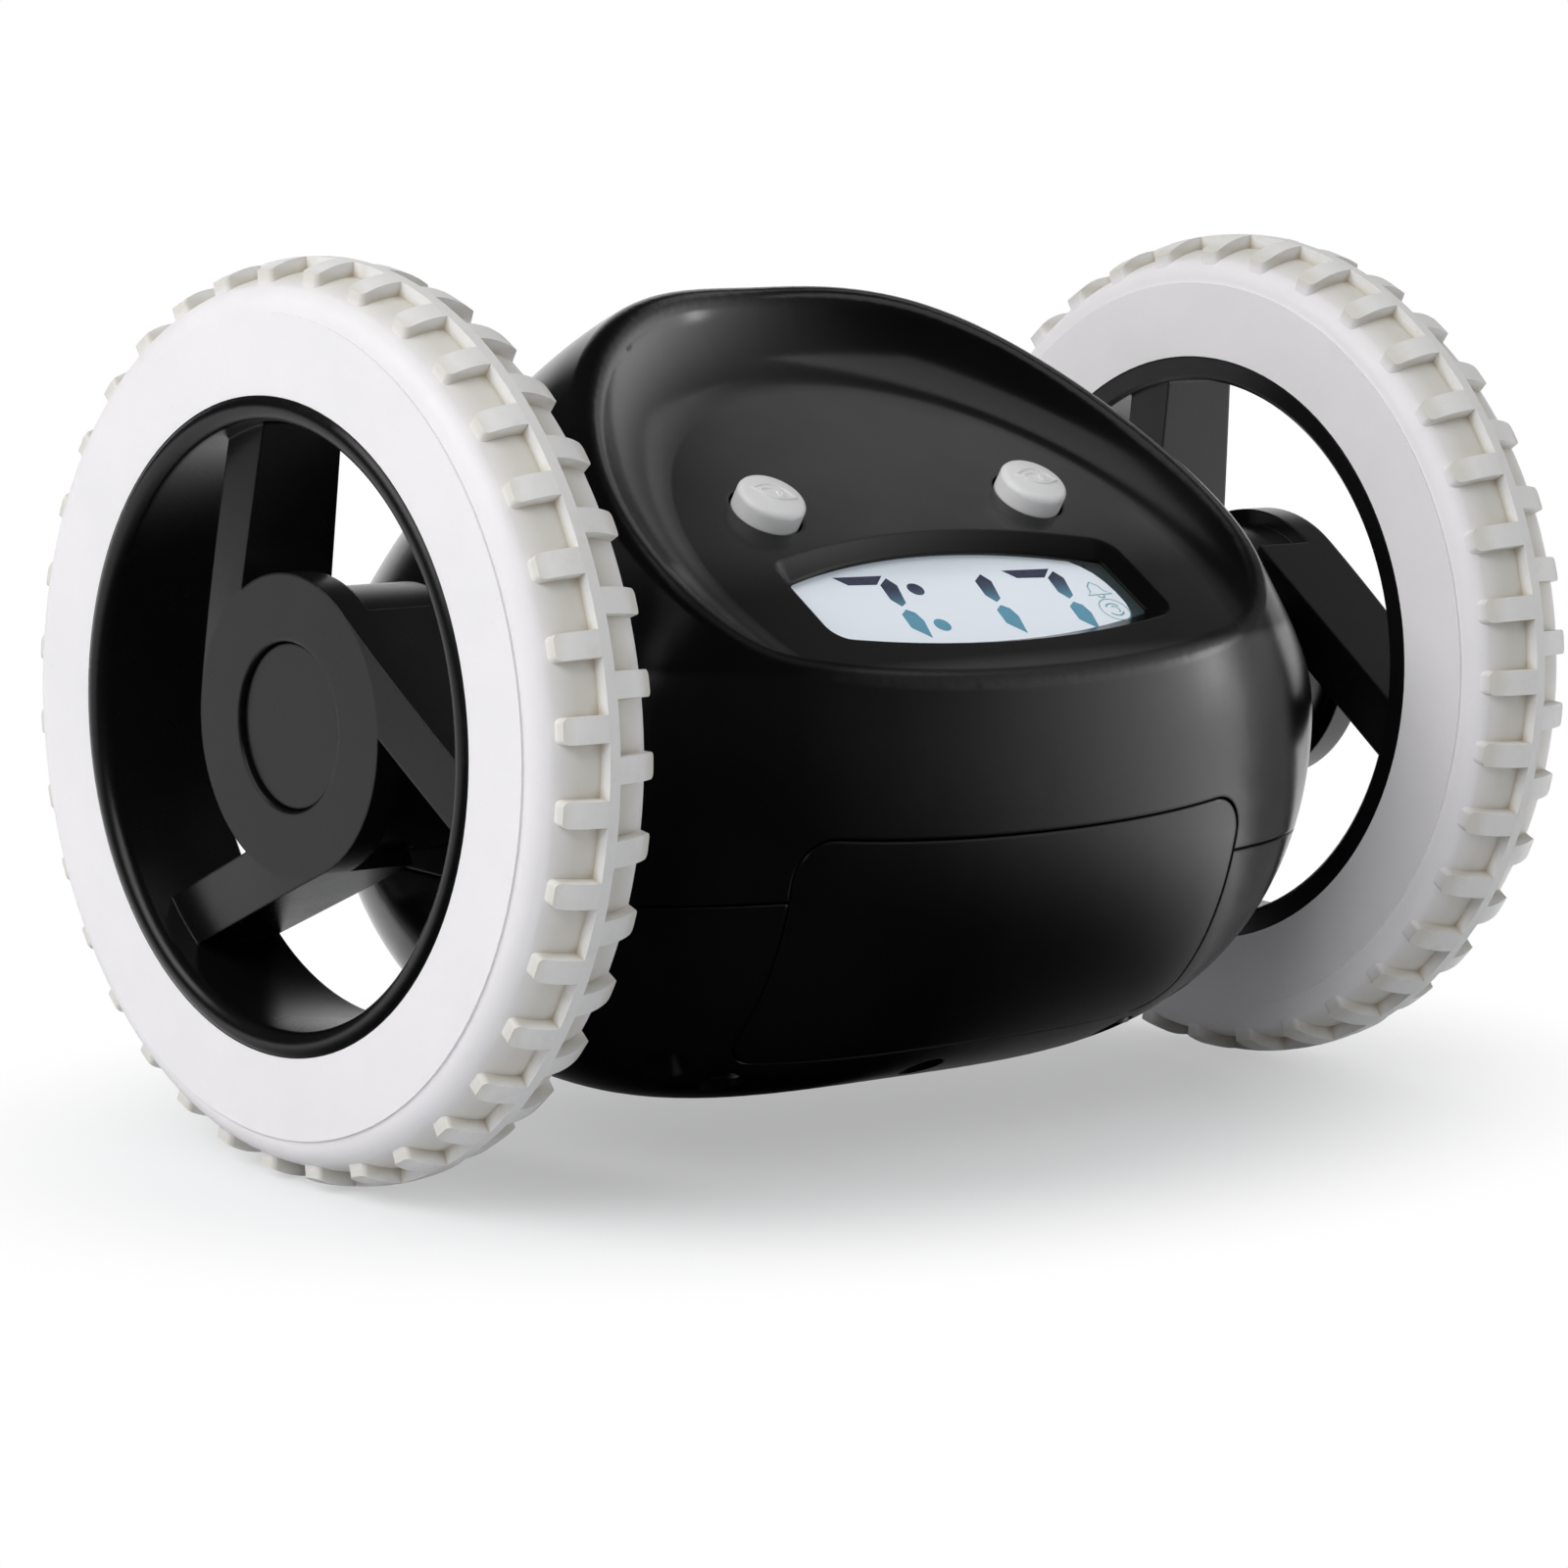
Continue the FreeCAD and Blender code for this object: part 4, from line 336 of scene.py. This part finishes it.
def glyph_material():
    """Display segments: navy at the top of the display and teal at the bottom."""
    s = Shader("display_segments")
    height = s.span(s.axis(2), 54.3 * MM, 56.9 * MM, smooth=True)
    tone = s.mix(height, rgb(0.13, 0.39, 0.54), rgb(0.022, 0.022, 0.065))
    s.set("Base Color", s.mix(s.span(s.noise(1.0 * MM), 0.3, 0.7, 0.0, 0.12), tone, rgb(0.10, 0.16, 0.26)))
    s.gloss(0.45, 0.6, 0.6 * MM)
    s.set("Specular IOR Level", 0.2)
    return s.material


def icon_material():
    """Teal ink of the small icons on the display."""
    s = Shader("display_icons")
    s.set("Base Color", s.mottled(rgb(0.16, 0.40, 0.46), rgb(0.20, 0.46, 0.52), 0.6 * MM))
    s.gloss(0.35, 0.5, 0.4 * MM)
    return s.material


def lens_material():
    """Thin clear window, faintly uneven."""
    s = Shader("lens")
    s.set("Base Color", s.mottled(rgb(0.80, 0.88, 0.92), rgb(0.84, 0.9, 0.93), 7 * MM))
    s.set("Roughness", s.span(s.noise(6 * MM), 0.35, 0.7, 0.05, 0.07))
    s.set("Specular IOR Level", 0.3)
    s.set("Alpha", 0.04)
    return s.material


def cell_material():
    """Dark battery sleeve with a copper-coloured band near one end."""
    s = Shader("cell")
    band = s.span(s.axis(0), 10.0 * MM, 10.2 * MM)
    s.set("Base Color", s.mix(band, rgb(0.02, 0.021, 0.024), rgb(0.55, 0.27, 0.1)))
    s.set("Metallic", 0.6)
    s.gloss(0.26, 0.38, 2 * MM, 4.0)
    s.bump(s.noise(0.8 * MM, 4.0), 0.006 * MM)
    return s.material


def board_material():
    """Green circuit board with fine tracks under the lacquer."""
    s = Shader("board")
    tracks = s.node("ShaderNodeTexBrick", offset=0.5)
    s.link(s.place, tracks.inputs["Vector"])
    tracks.inputs["Scale"].default_value = 260.0
    tracks.inputs["Color1"].default_value = rgb(0.012, 0.12, 0.05)
    tracks.inputs["Color2"].default_value = rgb(0.018, 0.16, 0.07)
    tracks.inputs["Mortar"].default_value = rgb(0.03, 0.22, 0.1)
    s.set("Base Color", tracks.outputs["Color"])
    s.gloss(0.28, 0.42, 2 * MM, 4.0)
    s.bump(tracks.outputs["Fac"], 0.01 * MM)
    return s.material


MATERIALS = {
    "casing": casing_material(),
    "tyre": tyre_material(),
    "hub": hub_material(),
    "lens": lens_material(),
    "display": display_material(),
    "board": board_material(),
    "cell": cell_material(),
}
# name, two tones, roughness, width and height of the grain in millimetres
for plastic in (
        ("border", (0.010, 0.045, 0.055), (0.014, 0.055, 0.065), 0.30, 0.3, 0.002),
        ("button", (0.80, 0.80, 0.79), (0.76, 0.76, 0.75), 0.42, 0.3, 0.006),
        ("key", (0.70, 0.70, 0.69), (0.64, 0.64, 0.63), 0.42, 0.3, 0.006),
        ("inner_plastic", (0.012, 0.012, 0.013), (0.018, 0.018, 0.019), 0.5, 0.4, 0.012),
        ("gear", (0.80, 0.79, 0.74), (0.74, 0.73, 0.68), 0.38, 0.4, 0.006),
        ("gear_frame", (0.55, 0.55, 0.53), (0.48, 0.48, 0.47), 0.5, 0.4, 0.010),
        ("motor_cap", (0.02, 0.02, 0.022), (0.03, 0.03, 0.032), 0.5, 0.4, 0.010),
        ("switch", (0.015, 0.015, 0.016), (0.025, 0.025, 0.026), 0.45, 0.3, 0.008),
        ("speaker", (0.02, 0.02, 0.021), (0.032, 0.032, 0.033), 0.6, 0.5, 0.02),
        ("magnet", (0.03, 0.03, 0.032), (0.045, 0.045, 0.047), 0.6, 0.5, 0.02),
        ("ballast", (0.05, 0.05, 0.052), (0.08, 0.08, 0.08), 0.6, 0.8, 0.04)):
    MATERIALS[plastic[0]] = moulded(*plastic)
# name, red, green, blue, roughness
for bare in (
        ("steel", 0.62, 0.62, 0.63, 0.28),
        ("spring_steel", 0.32, 0.32, 0.34, 0.35),
        ("screw", 0.10, 0.10, 0.105, 0.38),
        ("motor_can", 0.58, 0.58, 0.58, 0.36),
        ("armature", 0.42, 0.24, 0.13, 0.4),
        ("contact", 0.68, 0.68, 0.66, 0.25),
        ("bush", 0.66, 0.48, 0.2, 0.32)):
    MATERIALS[bare[0]] = metal(*bare)

# the display's own node shows only as a dark border round the glowing field, whose glow is painted light
for subpart in frame["record"]["subparts"]:
    kind = "border" if subpart["node"] == "display_panel" else subpart["material_slot"]
    mesh = nodes[subpart["node"]].data
    mesh.materials.clear()
    mesh.materials.append(MATERIALS[kind])


# ---------------------------------------------------------------- pieces on the clock face
def on_face(x, v, height):
    """Point on the clock face: x across, v up the face, height above it."""
    out = FACE_DISTANCE + height
    along = DISH_CENTRE + v
    y = along * math.cos(FACE_TILT) - out * math.sin(FACE_TILT)
    z = AXLE_Z + along * math.sin(FACE_TILT) + out * math.cos(FACE_TILT)
    return Vector((x, y, z))


def add_piece(name, work, material, body):
    mesh = bpy.data.meshes.new(name)
    bmesh.ops.recalc_face_normals(work, faces=work.faces)
    work.to_mesh(mesh)
    work.free()
    piece = bpy.data.objects.new(name, mesh)
    scene.collection.objects.link(piece)
    mesh.materials.append(material)
    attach(piece, body)


def plate(work, outline, depth, thickness):
    """Thin raised plate on the display from an outline in millimetres."""
    low = [work.verts.new(on_face(x * MM, v * MM, -depth)) for x, v in outline]
    high = [work.verts.new(on_face(x * MM, v * MM, thickness - depth)) for x, v in outline]
    work.faces.new(high)
    work.faces.new(low[::-1])
    count = len(outline)
    for i in range(count):
        j = (i + 1) % count
        work.faces.new((low[i], low[j], high[j], high[i]))


def ridge(work, path, width, height, lift, closed=False):
    """Rounded raised line on the face along a path in millimetres; lift gives its ground."""
    profile = ((-0.5, -0.06), (-0.34, 0.7), (0.0, 1.0), (0.34, 0.7), (0.5, -0.06))
    count = len(path)
    rings = []
    for i, (x, v) in enumerate(path):
        before = path[i - 1] if closed or i else path[i]
        after = path[(i + 1) % count] if closed or i < count - 1 else path[i]
        way = Vector((after[0] - before[0], after[1] - before[1])).normalized()
        ring = []
        for across, up in profile:
            px = x - way.y * across * width
            pv = v + way.x * across * width
            ring.append(work.verts.new(on_face(px * MM, pv * MM, (lift(px, pv) + up * height) * MM)))
        rings.append(ring)
    last = count if closed else count - 1
    for i in range(last):
        a, b = rings[i], rings[(i + 1) % count]
        for k in range(len(profile) - 1):
            work.faces.new((a[k], a[k + 1], b[k + 1], b[k]))
        work.faces.new((a[-1], a[0], b[0], b[-1]))
    if not closed:
        work.faces.new(rings[0])
        work.faces.new(rings[-1][::-1])


def arc(x, v, radius, start, stop, steps):
    """Points from one angle to another, in degrees."""
    angles = [math.radians(start + (stop - start) * i / steps) for i in range(steps + 1)]
    return [(x + radius * math.cos(angle), v + radius * math.sin(angle)) for angle in angles]


def circle(x, v, radius):
    return arc(x, v, radius, 0, 360, 28)[:-1]


def moved(points, x, v):
    return [(x + across, v + up) for across, up in points]


def bowed(count, level, rise):
    """Bowed edge of the display: count points from its left end."""
    edge = []
    for i in range(count):
        share = i * FIELD_STEP - 1.0
        edge.append((share * FIELD_HALF, level + rise * (1.0 - share * share)))
    return edge


def display_field():
    """Field of the display, glowing with painted light, past the window's edge all round but for its
    rounded right end.
    """
    bottom = bowed(22, FIELD_BOTTOM, FIELD_BOTTOM_RISE)
    top = bowed(23, FIELD_TOP, FIELD_TOP_RISE)
    work = bmesh.new()
    plate(work, bottom + list(FIELD_END) + top[::-1], DISPLAY_DEPTH, DISPLAY_THICKNESS)
    add_piece("display_field", work, MATERIALS["display"], "casing")


def display_digits():
    """Time on the display, with the two dots between hours and minutes."""
    work = bmesh.new()
    for x, v, letters in DIGITS:
        for letter in letters:
            plate(work, moved(SEGMENTS[letter], x, v), GLYPH_DEPTH, GLYPH_THICKNESS)
    for x, v in DOTS:
        plate(work, circle(x, v, DOT_RADIUS), GLYPH_DEPTH, GLYPH_THICKNESS)
    add_piece("display_digits", work, glyph_material(), "casing")


def display_icons():
    """A bell, and a ring with curved strokes inside, beside the digits."""
    work = bmesh.new()

    def ink(path, width, closed=False):
        ridge(work, path, width, INK_HEIGHT, lambda x, v: -GLYPH_DEPTH / MM, closed)

    ink(moved(BELL_OUTLINE, *BELL), 0.17, closed=True)
    ink(arc(BELL[0], BELL[1] - 1.05, 0.42, 190, 350, 8), 0.2)
    ink(circle(*RING, RING_RADIUS), 0.15, closed=True)
    ink(arc(*RING, 0.95, 30, 150, 12), 0.22)
    ink(arc(*RING, 0.95, 210, 330, 12), 0.22)
    ink(arc(RING[0] + 0.1, RING[1], 0.5, -60, 120, 8), 0.17)
    add_piece("display_icons", work, icon_material(), "casing")


def button_icon(side, turn, name, body):
    """Leaf-shaped outline with an inner curve and a hook, raised on a button's crown."""
    cx = side * BUTTON_X / MM
    cv = BUTTON_V / MM
    angle = math.radians(turn)
    work = bmesh.new()

    def crown(x, v):
        r2 = (x - cx) ** 2 + (v - cv) ** 2
        return BUTTON_HEIGHT / MM - r2 / (2 * BUTTON_DOME / MM)

    def raised(points, width, height, closed=False):
        placed = [(cx + x * math.cos(angle) - v * math.sin(angle),
                   cv + x * math.sin(angle) + v * math.cos(angle)) for x, v in points]
        ridge(work, placed, width, height, crown, closed)

    def leaf_point(share, bulge):
        return (LEAF_LENGTH * (share - 0.5), bulge * math.sin(math.pi * share))

    leaf = [leaf_point(i / LEAF_STEPS, 1.25) for i in range(LEAF_STEPS + 1)]
    leaf += [leaf_point(1.0 - i / LEAF_STEPS, -1.15) for i in range(1, LEAF_STEPS)]
    vein = [(2.4 * i / VEIN_STEPS - 1.5, 0.55 * math.sin(math.pi * i / VEIN_STEPS) - 0.15)
            for i in range(VEIN_STEPS + 1)]
    raised(leaf, 0.34, 0.16, closed=True)
    raised(vein, 0.3, 0.14)
    raised(arc(0.75, -0.15, 0.45, 100, 330, 10), 0.28, 0.14)
    add_piece(name, work, MATERIALS["button"], body)


display_field()
display_digits()
display_icons()
button_icon(-1, -28, "button_icon_left", "face_button_left")
button_icon(1, -18, "button_icon_right", "face_button_right")


# ---------------------------------------------------------------- camera
def look(azimuth, elevation, roll, distance, target):
    """Matrix of a camera that looks at a target from a direction, in degrees."""
    a, e, r = math.radians(azimuth), math.radians(elevation), math.radians(roll)
    back = Vector((math.sin(a) * math.cos(e), -math.cos(a) * math.cos(e), math.sin(e)))
    right = (-back).cross(Vector((0, 0, 1))).normalized()
    up = right.cross(-back)
    turned_right = math.cos(r) * right + math.sin(r) * up
    turned_up = -math.sin(r) * right + math.cos(r) * up
    matrix = Matrix((turned_right, turned_up, back)).transposed().to_4x4()
    matrix.translation = Vector(target) + back * distance
    return matrix


camera_data = bpy.data.cameras.new("camera")
camera_data.sensor_width = SENSOR
camera_data.lens = SENSOR * FOCAL_PIXELS / FRAME_PIXELS
camera_data.clip_start = 0.01
camera = bpy.data.objects.new("camera", camera_data)
scene.collection.objects.link(camera)
camera.matrix_world = look(azimuth=-40.0, elevation=9.0, roll=1.7, distance=587.17 * MM,
                           target=(-3.53 * MM, 0, 34.06 * MM))
scene.camera = camera


# ---------------------------------------------------------------- floor, world and lamps
def stage_floor():
    """Pale floor that keeps the shadow near the clock and turns plain white further out; glossy
    surfaces see the panel on it in front of the clock."""
    work = bmesh.new()
    bmesh.ops.create_circle(work, cap_ends=True, segments=96, radius=4.0)
    mesh = bpy.data.meshes.new("floor")
    work.to_mesh(mesh)
    work.free()
    floor = bpy.data.objects.new("floor", mesh)
    scene.collection.objects.link(floor)
    s = Shader("floor")
    s.set("Base Color", s.mix(s.span(s.noise(60 * MM), 0.3, 0.7), rgb(0.80, 0.815, 0.84),
                              rgb(0.82, 0.83, 0.85)))
    s.set("Roughness", 0.6)
    s.set("Specular IOR Level", 0.2)
    path = s.node("ShaderNodeLightPath").outputs
    seen = s.math("MAXIMUM", s.math("MAXIMUM", path["Is Camera Ray"], path["Is Glossy Ray"]),
                  path["Is Transmission Ray"])
    distance = s.length(s.math("DIVIDE", s.axis(0), SHADOW_X), s.math("DIVIDE", s.axis(1), SHADOW_Y))
    far = s.math("MULTIPLY", s.span(distance, 0.55, 1.3, 0.4, 1.0, smooth=True), seen)
    pale = s.shader_mix(far, s.bsdf.outputs[0], s.glow("ShaderNodeEmission", WHITE))
    away = s.length(s.axis(0), s.axis(1))
    toward = s.math("ADD", s.math("MULTIPLY", s.axis(0), PANEL[0]), s.math("MULTIPLY", s.axis(1), PANEL[1]))
    reach = s.span(away, 45 * MM, 135 * MM, 0.05, 1.0, smooth=True)
    share = s.math("MULTIPLY", s.panel(s.math("DIVIDE", toward, away)), reach)
    mirrored = s.glow("ShaderNodeEmission", WHITE, s.math("MULTIPLY", share, PANEL_LEVEL))
    front = s.math("MULTIPLY", path["Is Glossy Ray"], s.span(s.axis(1), 0.06, -0.01, smooth=True))
    s.link(s.shader_mix(front, pale, mirrored), s.tree.nodes["Material Output"].inputs["Surface"])
    mesh.materials.append(s.material)


def studio_world():
    """White to the camera; a soft room that is lighter on one side; to glossy and clear surfaces,
    a white backdrop behind the clock and the panel at its right."""
    world = bpy.data.worlds.new("studio")
    scene.world = world
    world.use_nodes = True
    world.node_tree.nodes.clear()
    s = Nodes(world.node_tree, "Generated")
    path = s.node("ShaderNodeLightPath").outputs
    backdrop = s.span(s.dot(s.place, BACKDROP), 0.78, 0.96, 0.02, 1.0, smooth=True)
    mirrored = s.math("MULTIPLY_ADD", s.panel(s.dot(s.place, PANEL)), PANEL_LEVEL, backdrop)
    room = s.span(s.dot(s.place, LIT_SIDE), -1.0, 1.0, ROOM_LEVEL * (1.0 - ROOM_LEAN),
                  ROOM_LEVEL * (1.0 + ROOM_LEAN))
    seen = s.math("MAXIMUM", path["Is Glossy Ray"], path["Is Transmission Ray"])
    around = s.shader_mix(seen, s.glow("ShaderNodeBackground", rgb(0.97, 0.98, 1.0), room),
                          s.glow("ShaderNodeBackground", WHITE, mirrored))
    shown = s.shader_mix(path["Is Camera Ray"], around, s.glow("ShaderNodeBackground", WHITE))
    s.link(shown, s.node("ShaderNodeOutputWorld").inputs["Surface"])


def softbox(name, place, size, watts, target=(0, 0, 0.045)):
    """Rectangular lamp at a place, in metres, turned to a target."""
    data = bpy.data.lights.new(name, "AREA")
    data.shape = "RECTANGLE"
    data.size, data.size_y = size
    data.energy = watts
    lamp = bpy.data.objects.new(name, data)
    scene.collection.objects.link(lamp)
    way = Vector(target) - Vector(place)
    lamp.rotation_mode = "QUATERNION"
    lamp.rotation_quaternion = way.to_track_quat("-Z", "Y")
    lamp.location = place


stage_floor()
studio_world()
softbox("key", (-0.64, -0.26, 0.52), (0.50, 0.34), 1.9)
softbox("key_back", (-0.62, 0.18, 0.52), (0.50, 0.34), 2.1)
softbox("above", (0.22, -0.22, 0.70), (0.40, 0.40), 0.4)
softbox("over_face", (0.169, 0.061, 0.241), (0.09, 0.05), 0.0072, target=(0.005, -0.012, 0.064))
softbox("strip", (0.46, -0.25, 0.10), (0.05, 0.20), 0.17)

scene.view_settings.view_transform = "Standard"
